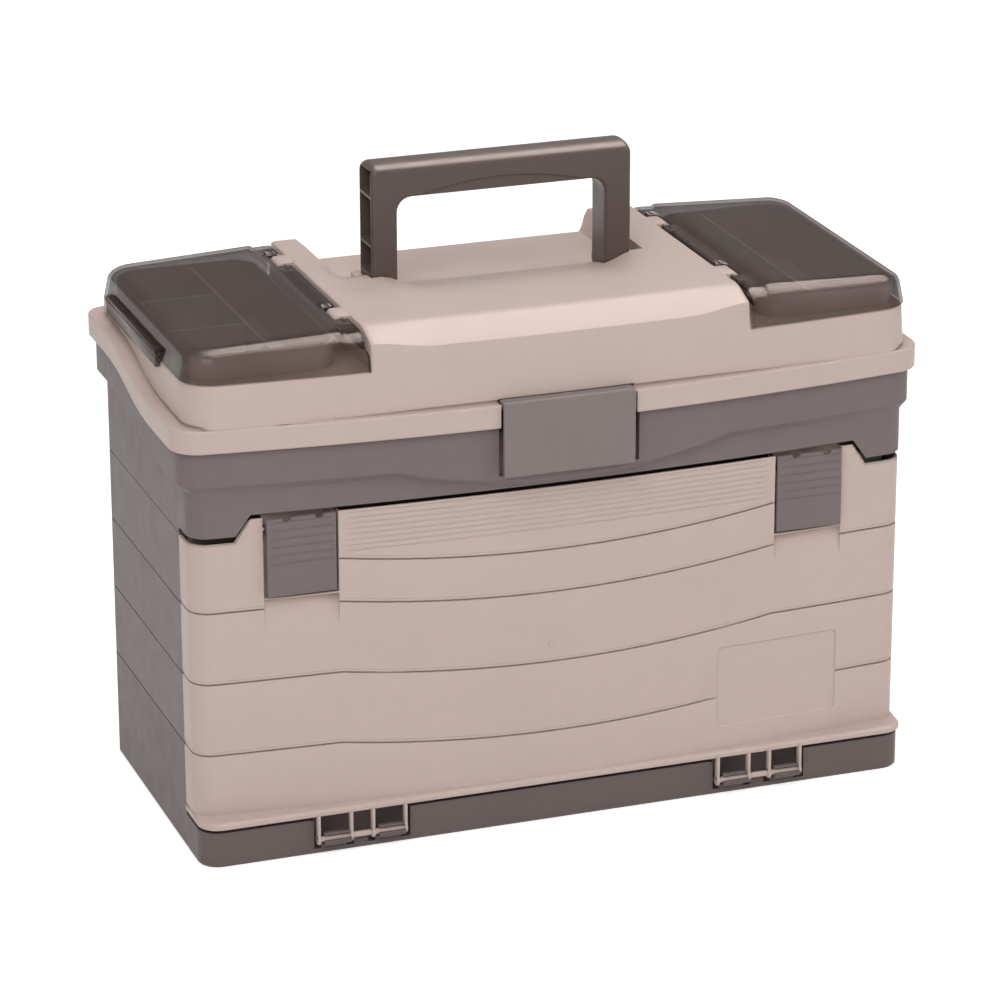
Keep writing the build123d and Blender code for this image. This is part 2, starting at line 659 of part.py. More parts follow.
def lid_body_solid(inset):
    """Body of the lid above its rim, with a front that leans back above the bend."""
    def level(half, front, rear, z):
        return Pos(0, 0, z) * outline(half - inset, front + inset, body_bow, rear - inset,
                                      body_corner_r - inset, rear_corner_r + 4 - inset)
    foot = level(body_half, body_front, body_rear, body_foot)
    bend = level(body_half_bend, body_front_bend, body_rear_bend, body_bend - inset / 2)
    top = level(body_half_top, body_front_top, body_rear_top, body_top - inset)
    solid = loft([foot, bend], ruled=True) + loft([bend, top], ruled=True)
    if inset == 0:
        solid = fillet(solid.faces().sort_by(Axis.Z)[-1].edges(), body_edge_r)
    return solid


def leg_slots():
    """x range of the slot round each handle leg, left and right."""
    inner = handle_half - leg_width - leg_gap
    outer = handle_half + leg_gap
    return (-outer, -inner + slot_extra), (inner, outer + slot_extra)


def handle_recess(grow):
    """Dish behind the handle, its sloped sides, and the slots round the legs."""
    floor = dish_floor - grow
    start = dish_start - grow
    end = dish_end - grow
    high = body_top + 5
    legs = leg_slots()
    dish = [Line((start, high), (start, body_top)),
            Bezier((start, body_top), (start + 35, body_top), (end - 45, floor), (end, floor)),
            Line((end, floor), (160, floor)), Line((160, floor), (160, high)),
            Line((160, high), (start, high))]
    zone = side_prism(dish, legs[0][1] - grow, legs[1][0] + grow)
    back = handle_front + handle_depth
    zone += block(-dish_left - grow, dish_right + grow, back - grow, 160, floor, high)
    for x_foot, slope in ((-dish_left, -dish_left_slope), (dish_right, dish_right_slope)):
        side = grow if slope > 0 else -grow
        wedge = [Line((x_foot + side, floor), (x_foot + slope + side, high)),
                 Line((x_foot + slope + side, high), (0, high)), Line((0, high), (0, floor)),
                 Line((0, floor), (x_foot + side, floor))]
        zone += front_prism(wedge, back + 4.0 - grow, 160)
    for x0, x1 in legs:
        zone += block(x0 - grow, x1 + grow, handle_front - leg_gap - grow, back + 2.0 + grow,
                      slot_floor - grow, high)
    return zone


def lid_shell():
    """Tan lid: overlapping rim, body, two wells with coamings, handle dish, pockets and hinge ears."""
    high = 420.0
    rim_face = outline(rim_half, rim_front, rim_bow, rim_rear, rim_corner_r, rear_corner_r + 6)
    rim_inner = outline(rim_half - rim_wall, rim_front + rim_wall, rim_bow, rim_rear - rim_wall,
                        rim_corner_r - rim_wall, rear_corner_r + 6 - rim_wall)
    rim = prism(rim_face, 250, 340) & rim_line(0, top=high) & rim_line(rim_height, bottom=200)
    body = lid_body_solid(0) - (prism(rim_face, 250, 340) & rim_line(rim_height - shell, bottom=200))
    outer = rim + body
    under_rim = prism(rim_inner, 240, 340) & rim_line(rim_overlap + rim_clear, bottom=200)
    cavity = lid_body_solid(shell)
    for sx in (-1, 1):
        x0, x1 = sorted((sx * hinge_side, sx * 300.0))
        outer -= block(x0, x1, -200, 200, seat_z, 400)
        cavity -= block(x0 - shell, x1 + shell, -200, 200, seat_z - shell, 400)
    cavity -= handle_recess(shell)
    lid = outer - cavity - under_rim - handle_recess(0)
    for sx in (-1, 1):
        lid = add_well(lid, sx)
    lid = add_smoke_tabs(lid)
    lid = add_handle_bosses(lid)
    lid = add_latch_housing(lid)
    return add_hinge_ears(lid)


def add_well(lid, sx):
    """One open well with its coaming and floor under a smoke lid."""
    x0, x1 = sorted((sx * well_inner, sx * well_outer))
    w = well_wall
    outer = block(x0 - w, x1 + w, well_front - w, well_rear + w, well_floor - w, coaming_top)
    outer = fillet(outer.edges().filter_by(Axis.Z), well_corner_r)
    inner = block(x0, x1, well_front, well_rear, well_floor, coaming_top + 60)
    inner = fillet(inner.edges().filter_by(Axis.Z), well_corner_r - w)
    return lid + outer - inner


def add_smoke_tabs(lid):
    """Tabs on the centre block that carry the smoke lids' hinge pins."""
    for sx in (-1, 1):
        for y in smoke_hinge_ys:
            x0, x1 = sorted((sx * (hinge_side - 2.0), sx * smoke_axis_x))
            y0 = y - tab_length / 2
            y1 = y + tab_length / 2
            tab = block(x0, x1, y0, y1, smoke_axis_z - smoke_pin_r - knuckle_wall,
                        smoke_axis_z + smoke_pin_r + knuckle_wall)
            tab += rod_y(y0, y1, sx * smoke_axis_x, smoke_axis_z, smoke_pin_r + knuckle_wall)
            tab -= rod_y(y0 - 1, y1 + 1, sx * smoke_axis_x, smoke_axis_z, smoke_pin_r + fixed_gap)
            lid += tab
    return lid


def handle_pin_ends():
    """x range of the left and the right handle pin, each from its boss into its leg."""
    (left_out, _), (_, right_out) = leg_slots()
    into = handle_half - leg_width + 2.0
    return (left_out - handle_boss, -into), (into, right_out + handle_boss)


def add_handle_bosses(lid):
    """Bored bosses on the outer side of each leg slot."""
    (left_out, _), (_, right_out) = leg_slots()
    for x0, x1 in ((left_out - handle_boss, left_out), (right_out, right_out + handle_boss)):
        boss = block(x0, x1, handle_axis_y - 6.0, handle_axis_y + 5.0, handle_axis_z - 8.0, body_top - 1.0)
        lid += boss - rod_x(x0 - 1, x1 + 1, handle_axis_y, handle_axis_z, handle_pin_r + fixed_gap)
    for x0, x1 in handle_pin_ends():
        lid -= rod_x(x0, x1, handle_axis_y, handle_axis_z, handle_pin_r + fixed_gap)
    return lid


def add_latch_housing(lid):
    """Pocket in rim and body for the wide latch, with side walls bored for its pin."""
    gap = lid_latch_half + lid_latch_gap
    back = lid_latch_flange_rear + lid_latch_gap + 1.2
    ceiling = lid_latch_top + 0.4
    housing = block(-gap - shell, gap + shell, back, back + shell, rim_front_z + 4.0, ceiling + shell)
    housing += block(-gap - shell, gap + shell, body_front + 3.0, back + shell, ceiling, ceiling + shell)
    for sx in (-1, 1):
        x0, x1 = sorted((sx * gap, sx * (gap + shell)))
        housing += block(x0, x1, rim_front + 1.2, back + shell, rim_front_z + 1.0, ceiling)
    lid += housing
    lid -= block(-gap, gap, -140, back, 270, ceiling)
    lid -= rod_x(-gap - shell - 1, gap + shell + 1, lid_latch_axis_y, lid_latch_axis_z,
                 lid_latch_pin_r + fixed_gap)
    return lid


def add_hinge_ears(lid):
    """Bored ears either side of each knuckle at the rear."""
    clear = lid_knuckle_half + ear_gap
    for sx in (-1, 1):
        middle = sx * lid_hinge_x
        lid -= block(middle - clear, middle + clear, rim_rear - rim_wall - 2, rim_rear + 5,
                     lid_axis_z - 8, lid_axis_z + lid_knuckle_r + 1.0)
        for side in (-1, 1):
            x0, x1 = sorted((middle + side * clear, middle + side * (clear + ear_width)))
            ear = rod_x(x0, x1, lid_axis_y, lid_axis_z, lid_knuckle_r)
            ear += block(x0, x1, rim_rear - 1.0, lid_axis_y + 1.0, lid_axis_z, lid_axis_z + 8.0)
            lid += ear
            lid -= rod_x(x0 - 1, x1 + 1, lid_axis_y, lid_axis_z, lid_pin_r + running_gap)
    return lid


def lid_hinge_pins():
    reach = lid_knuckle_half + ear_gap + ear_width + 0.5
    pins = [rod_x(sx * lid_hinge_x - reach, sx * lid_hinge_x + reach, lid_axis_y, lid_axis_z, lid_pin_r)
            for sx in (-1, 1)]
    return Compound(children=pins)


def lid_latch():
    """Wide latch: face plate, flange over the rim, cheeks round its pin and a catch lip."""
    front = lid_latch_front
    back = front + lid_latch_plate
    x0 = -lid_latch_half
    x1 = lid_latch_half
    plate = block(x0, x1, front, back, lid_latch_low, lid_latch_top)
    flange = block(x0, x1, front, lid_latch_flange_rear, lid_latch_top - 2.5, lid_latch_top)
    latch = plate + flange
    latch = fillet(latch.edges().filter_by(Axis.X).group_by(Axis.Y)[0], 1.2)
    for x in (x0, -1.5, x1 - 3.0):
        cheek = rod_x(x, x + 3.0, lid_latch_axis_y, lid_latch_axis_z, lid_latch_cheek_r)
        cheek += block(x, x + 3.0, back - 0.5, lid_latch_axis_y, lid_latch_axis_z - lid_latch_cheek_r,
                       lid_latch_top - 1.0)
        latch += cheek
    latch += block(x0 + 6, x1 - 6, back - 0.5, latch_wall_y - 1.6, catch_z - 5.4, catch_z - 2.4)
    latch -= rod_x(x0 - 1, x1 + 1, lid_latch_axis_y, lid_latch_axis_z, lid_latch_pin_r + running_gap)
    return latch


def lid_latch_pin():
    reach = lid_latch_half + lid_latch_gap + shell
    return rod_x(-reach, reach, lid_latch_axis_y, lid_latch_axis_z, lid_latch_pin_r)


def smoke_solid(sx, inset, foot):
    """Filled shape of one smoke lid, drawn in by inset, standing on height foot."""
    def level(half, front, rear, z):
        return Pos(0, 0, z) * outline(half - inset, front + inset, smoke_bow, rear - inset,
                                      smoke_corner_r - inset, rear_corner_r + 2 - inset)
    x0, x1 = sorted((sx * (smoke_edge + inset), sx * 300.0))
    solid = loft([level(smoke_outer, smoke_front, smoke_rear, foot),
                  level(smoke_outer_top, smoke_front_top, smoke_rear_top, smoke_top)], ruled=True)
    solid &= block(x0, x1, -200, 200, 0, 400)
    edge_top = smoke_top - inset
    outer_top = edge_top - smoke_outer_drop * (300.0 - smoke_edge) / (smoke_outer - smoke_edge)
    above = [Line((sx * 100, edge_top), (sx * smoke_edge, edge_top)),
             Line((sx * smoke_edge, edge_top), (sx * 300, outer_top)),
             Line((sx * 300, outer_top), (sx * 300, 400)), Line((sx * 300, 400), (sx * 100, 400)),
             Line((sx * 100, 400), (sx * 100, edge_top))]
    solid -= front_prism(above, -200, 200)
    top_edges = solid.faces().sort_by(Axis.Z)[-1].edges()
    outer_edges = top_edges.filter_by(lambda e: abs(e.center().X) > smoke_edge + inset + 1)
    return fillet(outer_edges, smoke_edge_r - inset)


def smoke_lid(sx):
    """Clear lid over one well: thin shell, hinge beads, notches and the outer snap bar."""
    foot = seat_z + smoke_gap
    lid = smoke_solid(sx, 0, foot) - smoke_solid(sx, smoke_wall, foot - 4)
    x0, x1 = sorted((sx * (smoke_edge - 1), sx * (smoke_edge + smoke_wall + 0.1)))
    lid -= block(x0, x1, smoke_front + smoke_wall + 4, smoke_rear - smoke_wall - 6, foot - 1,
                 smoke_axis_z - smoke_lip_drop)
    axis_x = sx * smoke_axis_x
    for y in smoke_hinge_ys:
        reach = notch_length / 2 + smoke_bead_length
        lid += rod_y(y - reach, y + reach, axis_x, smoke_axis_z, smoke_bead_r)
        n0, n1 = sorted((sx * (smoke_edge - 2), sx * (smoke_axis_x + smoke_bead_r + 1.6)))
        lid -= block(n0, n1, y - notch_length / 2, y + notch_length / 2, 330, 360)
        lid -= rod_y(y - reach - 1, y + reach + 1, axis_x, smoke_axis_z, smoke_pin_r + running_gap)
    b0, b1 = sorted((sx * (smoke_outer - 1.4), sx * (smoke_outer + snap_bar_proud)))
    bar = block(b0, b1, snap_bar_y - snap_bar_length / 2, snap_bar_y + snap_bar_length / 2,
                snap_bar_low, snap_bar_top)
    bar = chamfer(bar.edges().filter_by(Axis.Y).sort_by(lambda e: abs(e.center().X))[-2:], 0.8)
    inner_side = sx * (body_half + 0.4)
    i0, i1 = sorted((sx * (smoke_outer - 3), inner_side))
    bar -= block(i0, i1, -200, 200, 300, seat_z + smoke_gap)
    return lid + bar


def smoke_pins(sx):
    reach = notch_length / 2 + smoke_bead_length - 1.0
    pins = [rod_y(y - reach, y + reach, sx * smoke_axis_x, smoke_axis_z, smoke_pin_r)
            for y in smoke_hinge_ys]
    return Compound(children=pins)


def well_divider(x0, x1, y0, y1):
    return block(x0, x1, y0, y1, well_floor + 0.1, well_divider_top)


def left_well_dividers():
    half = well_divider_thick / 2
    slack = 0.3
    plates = [well_divider(-left_long_divider - half, -left_long_divider + half,
                           well_front + slack, well_rear - slack)]
    for y in left_cross_ys:
        plates.append(well_divider(-well_outer + slack, -left_long_divider - half - slack,
                                   y - half, y + half))
    return Compound(children=plates)


def right_well_divider():
    half = well_divider_thick / 2
    slack = 0.3
    return well_divider(right_long_divider - half, right_long_divider + half,
                        well_front + slack, well_rear - slack)


def handle():
    """Folding bow handle with hollow outer faces crossed by webs."""
    back = handle_front + handle_depth
    outer = block(-handle_half, handle_half, handle_front, back, handle_axis_z, handle_top)
    outer = fillet(outer.edges().filter_by(Axis.Y).group_by(Axis.Z)[-1], handle_outer_r)
    inner = block(-handle_half + leg_width, handle_half - leg_width, handle_front - 1, back + 1,
                  handle_axis_z - 20, handle_top - grip_height)
    inner = fillet(inner.edges().filter_by(Axis.Y).group_by(Axis.Z)[-1], handle_inner_r)
    bow = outer - inner
    low = handle_top - grip_height
    foot = low - 1
    arch = [ThreePointArc((-grip_recess_half, foot), (0, low + grip_recess_rise), (grip_recess_half, foot)),
            Line((grip_recess_half, foot), (-grip_recess_half, foot))]
    bow -= front_prism(arch, handle_front - 1, handle_front + grip_recess_depth)
    for sx in (-1, 1):
        x0, x1 = sorted((sx * (handle_half - leg_width), sx * handle_half))
        bow += rod_x(x0, x1, handle_axis_y, handle_axis_z, handle_foot_r)
        p0, p1 = sorted((sx * (handle_half - leg_width + handle_wall), sx * (handle_half + 1)))
        pocket = block(p0, p1, handle_front + handle_wall, back - handle_wall,
                       body_top, handle_top - handle_wall)
        for z in web_heights:
            pocket -= block(p0, p1, handle_front, back, z, z + web_thick)
        bow -= pocket
    for x0, x1 in handle_pin_ends():
        bow -= rod_x(x0, x1, handle_axis_y, handle_axis_z, handle_pin_r + running_gap)
    return bow


def handle_pins():
    pins = [rod_x(x0, x1, handle_axis_y, handle_axis_z, handle_pin_r) for x0, x1 in handle_pin_ends()]
    return Compound(children=pins)


def stack_screws():
    screws = []
    for x, y in stack_screw_places():
        screw = rod_z(screw_foot, tray_seam + 11.0, x, y, screw_r)
        screw += rod_z(screw_foot, screw_foot + screw_head_h, x, y, screw_head_r)
        slots = Pos(x, y, screw_foot)
        screw -= slots * Box(5.0, 1.0, 2.4) + slots * Box(1.0, 5.0, 2.4)
        screws.append(screw)
    return Compound(children=screws)


def build_all():
    nodes = {"base_frame": base_frame()}
    for name, level in (("upper_frame", 1), ("middle_frame", 2), ("lower_frame", 3)):
        nodes[name] = frame_ring(seam(level), seam(level - 1), seam_chamfer)
    nodes["top_tray"] = top_tray()
    nodes["stack_screws"] = stack_screws()
    for level in range(1, level_count + 1):
        nodes[f"drawer_{level}"] = drawer(level)
        nodes[f"drawer_{level}_dividers"] = drawer_dividers(level)
    nodes["front_door"] = front_door()
    for name, sx in (("left", -1), ("right", 1)):
        nodes[f"door_latch_{name}"] = door_latch(sx)
        nodes[f"door_latch_pin_{name}"] = door_latch_pin(sx)
        nodes[f"smoke_lid_{name}"] = smoke_lid(sx)
        nodes[f"smoke_pins_{name}"] = smoke_pins(sx)
    nodes["lid_shell"] = lid_shell()
    nodes["lid_hinge_pins"] = lid_hinge_pins()
    nodes["lid_latch"] = lid_latch()
    nodes["lid_latch_pin"] = lid_latch_pin()
    nodes["left_well_dividers"] = left_well_dividers()
    nodes["right_well_divider"] = right_well_divider()
    nodes["handle"] = handle()
    nodes["handle_pins"] = handle_pins()
    return nodes


for node_name, shape in build_all().items():
    export_step(shape, f"parts/{node_name}.step")
    print(node_name, round(shape.volume))
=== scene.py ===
import math
import bmesh
import bpy
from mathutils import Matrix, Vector


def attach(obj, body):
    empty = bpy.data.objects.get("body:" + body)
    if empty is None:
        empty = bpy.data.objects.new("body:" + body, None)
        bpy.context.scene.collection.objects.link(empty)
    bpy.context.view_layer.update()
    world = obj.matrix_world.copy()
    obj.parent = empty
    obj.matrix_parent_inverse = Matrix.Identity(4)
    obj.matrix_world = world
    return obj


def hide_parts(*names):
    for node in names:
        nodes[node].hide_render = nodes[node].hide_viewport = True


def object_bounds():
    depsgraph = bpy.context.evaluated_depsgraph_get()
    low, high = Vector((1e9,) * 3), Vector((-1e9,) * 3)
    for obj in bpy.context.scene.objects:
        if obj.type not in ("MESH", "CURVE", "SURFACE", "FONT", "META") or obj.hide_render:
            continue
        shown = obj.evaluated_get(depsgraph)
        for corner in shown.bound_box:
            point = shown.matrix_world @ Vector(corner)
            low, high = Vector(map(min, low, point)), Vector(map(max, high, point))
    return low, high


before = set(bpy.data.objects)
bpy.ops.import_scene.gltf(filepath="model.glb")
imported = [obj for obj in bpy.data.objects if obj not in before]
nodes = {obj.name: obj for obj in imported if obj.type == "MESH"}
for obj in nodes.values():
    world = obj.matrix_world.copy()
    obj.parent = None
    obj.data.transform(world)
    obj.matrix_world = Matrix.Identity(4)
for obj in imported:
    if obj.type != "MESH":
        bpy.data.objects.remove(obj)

cadLow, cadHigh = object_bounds()
print("frame loaded:", len(nodes), "nodes")


# colours are written as they are seen, 0 to 255

def seenColour(red, green, blue):
    channels = []
    for value in (red, green, blue):
        v = value / 255
        channels.append(v / 12.92 if v <= 0.04045 else ((v + 0.055) / 1.055) ** 2.4)
    return (*channels, 1.0)


# shader nodes

def feed(tree, node, sources):
    # each socket gets another node's output or a plain value
    for socket, source in sources.items():
        if hasattr(source, "is_output"):
            tree.links.new(source, node.inputs[socket])
        else:
            node.inputs[socket].default_value = source


def addNode(tree, kind, sources=(), **settings):
    node = tree.nodes.new(kind)
    for key, value in settings.items():
        setattr(node, key, value)
    feed(tree, node, dict(sources))
    return node


def addPlace(tree):
    return addNode(tree, "ShaderNodeTexCoord").outputs["Object"]


def addNoise(tree, place, scale, detail=2.0, roughness=0.5):
    noise = addNode(tree, "ShaderNodeTexNoise", {"Vector": place, "Scale": scale, "Detail": detail,
                                                 "Roughness": roughness})
    return noise.outputs["Fac"]


def addRange(tree, value, start, end, low=0.0, high=1.0):
    # start becomes low and end becomes high
    return addNode(tree, "ShaderNodeMapRange", {"Value": value, "From Min": start, "From Max": end,
                                                "To Min": low, "To Max": high}).outputs[0]


def addMath(tree, operation, *values):
    return addNode(tree, "ShaderNodeMath", enumerate(values), operation=operation).outputs[0]


def addMix(tree, share, first, second):
    return addNode(tree, "ShaderNodeMix", {0: share, 2: first, 3: second}, data_type="FLOAT").outputs[0]


def addTone(tree, value, dark, pale):
    tone = addNode(tree, "ShaderNodeValToRGB", {"Fac": value})
    for element, colour in zip(tone.color_ramp.elements, (dark, pale)):
        element.color = seenColour(*colour)
    return tone.outputs["Color"]


def addSeen(tree, firstRay, secondRay):
    rays = addNode(tree, "ShaderNodeLightPath")
    return addMath(tree, "MAXIMUM", rays.outputs[firstRay], rays.outputs[secondRay])


def newMaterial(name):
    material = bpy.data.materials.new(name)
    material.use_nodes = True
    return material, material.node_tree, material.node_tree.nodes["Principled BSDF"]


# moulded plastic: one node group, one material for each colour

def newGroup(name, inputs, outputs):
    group = bpy.data.node_groups.new(name, "ShaderNodeTree")
    for label, kind, value in inputs:
        group.interface.new_socket(label, in_out="INPUT", socket_type=kind).default_value = value
    for label, kind in outputs:
        group.interface.new_socket(label, in_out="OUTPUT", socket_type=kind)
    return group, group.nodes.new("NodeGroupInput").outputs, group.nodes.new("NodeGroupOutput")


edgeRounding = 0.0007       # radius that softens the sharp edges of moulded parts
edgeWearAndHighlightWidth = 0.0009          # how far from an edge the paler wear and painted highlight reach
edgeWearAndHighlightTurn = (0.99, 0.80)     # cosine of the normal's turn where the paler wear and painted highlight start and where they are full


def mouldedPlasticGroup():
    # cloudy colour, fine moulded grain, faint scuffs and paler edges: partly wear, partly a painted highlight
    group, given, made = newGroup(
        "mouldedPlastic",
        [("Colour", "NodeSocketColor", (0.5, 0.5, 0.5, 1)), ("Mottle", "NodeSocketFloat", 0.06),
         ("Grain", "NodeSocketFloat", 0.25), ("Gloss", "NodeSocketFloat", 0.45),
         ("Edge Wear And Highlight", "NodeSocketFloat", 0.12)],
        [("Colour", "NodeSocketColor"), ("Roughness", "NodeSocketFloat"), ("Height", "NodeSocketFloat")])
    place = addPlace(group)
    cloud = addNoise(group, place, 9.0, 4.0, 0.55)
    streak = addNoise(group, place, 70.0, 3.0)
    grain = addNoise(group, place, 1400.0)
    shift = addRange(group, addMix(group, 0.35, cloud, streak), 0.3, 0.7, -0.5, 0.5)
    bright = addMath(group, "ADD", addMath(group, "MULTIPLY", shift, given["Mottle"]), 1.0)
    toned = addNode(group, "ShaderNodeVectorMath", {0: given["Colour"], "Scale": bright}, operation="SCALE")
    facing = addNode(group, "ShaderNodeNewGeometry").outputs["Normal"]
    rounded = addNode(group, "ShaderNodeBevel", {"Radius": edgeWearAndHighlightWidth}, samples=4).outputs["Normal"]
    turned = addNode(group, "ShaderNodeVectorMath", {0: facing, 1: rounded}, operation="DOT_PRODUCT")
    # paler where the rounded normal turns away from the true one: wear, and a painted highlight along the
    # edges
    wearAndHighlight = addMath(group, "MULTIPLY", addRange(group, turned.outputs["Value"], *edgeWearAndHighlightTurn), given["Edge Wear And Highlight"])
    pale = addNode(group, "ShaderNodeMix", {0: wearAndHighlight, 6: toned.outputs[0], 7: (1, 1, 1, 1)}, data_type="RGBA")
    rough = addRange(group, streak, 0.25, 0.75, -0.05, 0.07)
    feed(group, made, {"Colour": pale.outputs[2], "Roughness": addMath(group, "ADD", rough, given["Gloss"]),
                       "Height": addMath(group, "MULTIPLY", grain, given["Grain"])})
    return group


plasticGroup = mouldedPlasticGroup()


def mouldedMaterial(name, look, shine):
    material, tree, shader = newMaterial(name)
    group = addNode(tree, "ShaderNodeGroup", node_tree=plasticGroup)
    feed(tree, group, look)
    soft = addNode(tree, "ShaderNodeBevel", {"Radius": edgeRounding}, samples=4).outputs["Normal"]
    bump = addNode(tree, "ShaderNodeBump", {"Height": group.outputs["Height"], "Normal": soft,
                                            "Strength": 0.35, "Distance": 0.0003})
    feed(tree, shader, {"Base Color": group.outputs["Colour"], "Roughness": group.outputs["Roughness"],
                        "Normal": bump.outputs["Normal"], "IOR": 1.49, "Specular IOR Level": shine})
    return material


# each plastic: its colour, mottle, grain, gloss, edge wear and painted highlight, and shine

plasticLooks = {
    "tanPlastic": (seenColour(197, 178, 170), 0.05, 0.5, 0.40, 0.10, 0.14),
    "greyPlastic": (seenColour(124, 113, 112), 0.08, 0.6, 0.42, 0.10, 0.07),
    "latchPlastic": (seenColour(133, 123, 121), 0.08, 0.6, 0.38, 0.12, 0.12),
    "basePlastic": (seenColour(109, 98, 96), 0.08, 0.6, 0.42, 0.10, 0.1),
    "handlePlastic": (seenColour(94, 81, 77), 0.06, 0.5, 0.36, 0.12, 0.26),
    "drawerPlastic": (seenColour(186, 170, 160), 0.04, 0.3, 0.36, 0.06, 0.5),
    # lightened colour and edges painted near white: a painted highlight on the divider tops, which catch
    # light under the smoke lids
    "dividerPlastic": (seenColour(226, 218, 208), 0.04, 0.2, 0.34, 0.6, 0.5),
}
plasticLabels = ("Colour", "Mottle", "Grain", "Gloss", "Edge Wear And Highlight")
materials = {name: mouldedMaterial(name, dict(zip(plasticLabels, look)), look[-1])
             for name, look in plasticLooks.items()}


def steelMaterial():
    material, tree, shader = newMaterial("pinSteel")
    brushed = addNoise(tree, addPlace(tree), 600.0, 4.0)
    feed(tree, shader, {"Base Color": addTone(tree, brushed, (150, 148, 146), (205, 203, 200)),
                        "Roughness": addRange(tree, brushed, 0.0, 1.0, 0.22, 0.42), "Metallic": 1.0})
    return material


smokeFinish = {
    "colour": seenColour(56, 34, 26), "thinAlpha": 0.30, "alpha": 0.58, "roughness": 0.06, "scuffed": 0.09,
    "shine": 0.30, "rimStart": 0.72, "rimEnd": 0.95, "rimAlpha": 0.96, "rimRough": 0.5,
}


def smokeMaterial():
    # tinted clear plastic: a dark film over whatever lies behind it, thicker and duller where seen edge on
    look = smokeFinish
    material, tree, shader = newMaterial("smokePlastic")
    place = addPlace(tree)
    drift = addRange(tree, addNoise(tree, place, 14.0, 3.0), 0.3, 0.7, -0.02, 0.02)
    facing = addNode(tree, "ShaderNodeLayerWeight", {"Blend": 0.5}).outputs["Facing"]
    film = addRange(tree, facing, 0.15, 0.62, look["thinAlpha"], look["alpha"])
    rim = addRange(tree, facing, look["rimStart"], look["rimEnd"])
    scuff = addNoise(tree, place, 90.0, 6.0)
    rough = addRange(tree, scuff, 0.3, 0.75, look["roughness"], look["roughness"] + look["scuffed"])
    feed(tree, shader, {
        "Alpha": addMix(tree, rim, addMath(tree, "ADD", film, drift), look["rimAlpha"]),
        "Roughness": addMath(tree, "MULTIPLY_ADD", rim, look["rimRough"], rough),
        "Base Color": look["colour"], "IOR": 1.58, "Specular IOR Level": look["shine"]})
    return material


materials["pinSteel"] = steelMaterial()
materials["smokePlastic"] = smokeMaterial()
print("materials ready:", len(materials))


# camera, floor and lamps

cameraLook = {
    "yaw": -19.76, "pitch": 20.18, "roll": -0.1, "distance": 3029.85, "across": -0.8, "height": 172.46,
    "lens": 159.08, "shiftX": -0.0053, "shiftY": 0.0047,
}


def addObject(name, data):
    item = bpy.data.objects.new(name, data)
    bpy.context.scene.collection.objects.link(item)
    return item


def addCamera(look):
    data = bpy.data.cameras.new("photoCamera")
    camera = addObject("photoCamera", data)
    yaw, pitch = math.radians(look["yaw"]), math.radians(look["pitch"])
    back = Vector((math.sin(yaw) * math.cos(pitch), -math.cos(yaw) * math.cos(pitch), math.sin(pitch)))
    right = Vector((math.cos(yaw), math.sin(yaw), 0))
    up = right.cross(-back)
    target = right * look["across"] + up * look["height"]
    camera.location = (target + back * look["distance"]) / 1000
    camera.rotation_euler = (-back).to_track_quat("-Z", "Y").to_euler()
    camera.rotation_euler.rotate_axis("Z", math.radians(look["roll"]))
    data.sensor_width = 36.0
    data.lens = look["lens"]
    data.shift_x, data.shift_y = look["shiftX"], look["shiftY"]
    data.clip_start, data.clip_end = 0.1, 60.0
    bpy.context.scene.camera = camera


floorRadius = 14.0
floorLift = 0.50            # keeps the floor white where the lamps light it, grey in the shadow


def addFloor():
    bm = bmesh.new()
    bmesh.ops.create_circle(bm, cap_ends=True, segments=64, radius=floorRadius)
    mesh = bpy.data.meshes.new("studioFloor")
    bm.to_mesh(mesh)
    bm.free()
    material, tree, shader = newMaterial("paleFloor")
    tone = addTone(tree, addNoise(tree, addPlace(tree), 1.5), (244, 243, 242), (248, 247, 246))
    lift = addMath(tree, "MULTIPLY", addSeen(tree, "Is Camera Ray", "Is Glossy Ray"), floorLift)
    feed(tree, shader, {"Base Color": tone, "Roughness": 0.8, "Specular IOR Level": 0.1,
                        "Emission Color": (1, 1, 1, 1), "Emission Strength": lift})
    mesh.materials.append(material)
    addObject("studioFloor", mesh)


worldLevel = 0.38
lampLooks = {
    "keyLamp": {"place": (-1.3, -2.2, 2.6), "size": 2.2, "power": 52.0},
    "fillLamp": {"place": (2.4, -1.6, 1.5), "size": 2.0, "power": 20.0},
    "topLamp": {"place": (0.1, 0.5, 2.8), "size": 1.8, "power": 22.0},
    "shineLamp": {"place": (0.85, 0.35, 2.6), "size": 2.2, "power": 195.0, "shineOnly": True,
                  "colour": (1.0, 0.86, 0.79)},
}


def addLamps():
    middle = (cadLow + cadHigh) / 2
    for name, look in lampLooks.items():
        data = bpy.data.lights.new(name, "AREA")
        data.size = look["size"]
        data.energy = look["power"]
        data.color = look.get("colour", (1, 1, 1))
        lamp = addObject(name, data)
        lamp.location = look["place"]
        lamp.visible_diffuse = not look.get("shineOnly", False)     # a softbox that only shows as gloss
        lamp.rotation_mode = "QUATERNION"
        lamp.rotation_quaternion = (middle - Vector(look["place"])).to_track_quat("-Z", "Y")


def addWorld():
    world = bpy.data.worlds.new("paleStudio")
    world.use_nodes = True
    tree = world.node_tree
    seen = addSeen(tree, "Is Camera Ray", "Is Transmission Ray")
    feed(tree, tree.nodes["Background"], {"Strength": addRange(tree, seen, 0.0, 1.0, worldLevel, 1.0),
                                          "Color": (1, 1, 1, 1)})
    bpy.context.scene.world = world


addCamera(cameraLook)
addFloor()
addLamps()
addWorld()
bpy.context.scene.view_settings.view_transform = "Standard"
print("camera, floor and lamps ready")


# modelling helpers, in millimetres until a piece is finished

def blend(a, b, f):
    return a + (b - a) * f


def blendPair(a, b, f):
    return blend(a[0], b[0], f), blend(a[1], b[1], f)


def ramp(low, high, value):
    # 0 up to low, 1 from high on, even between them
    return min(max((value - low) / (high - low), 0.0), 1.0)


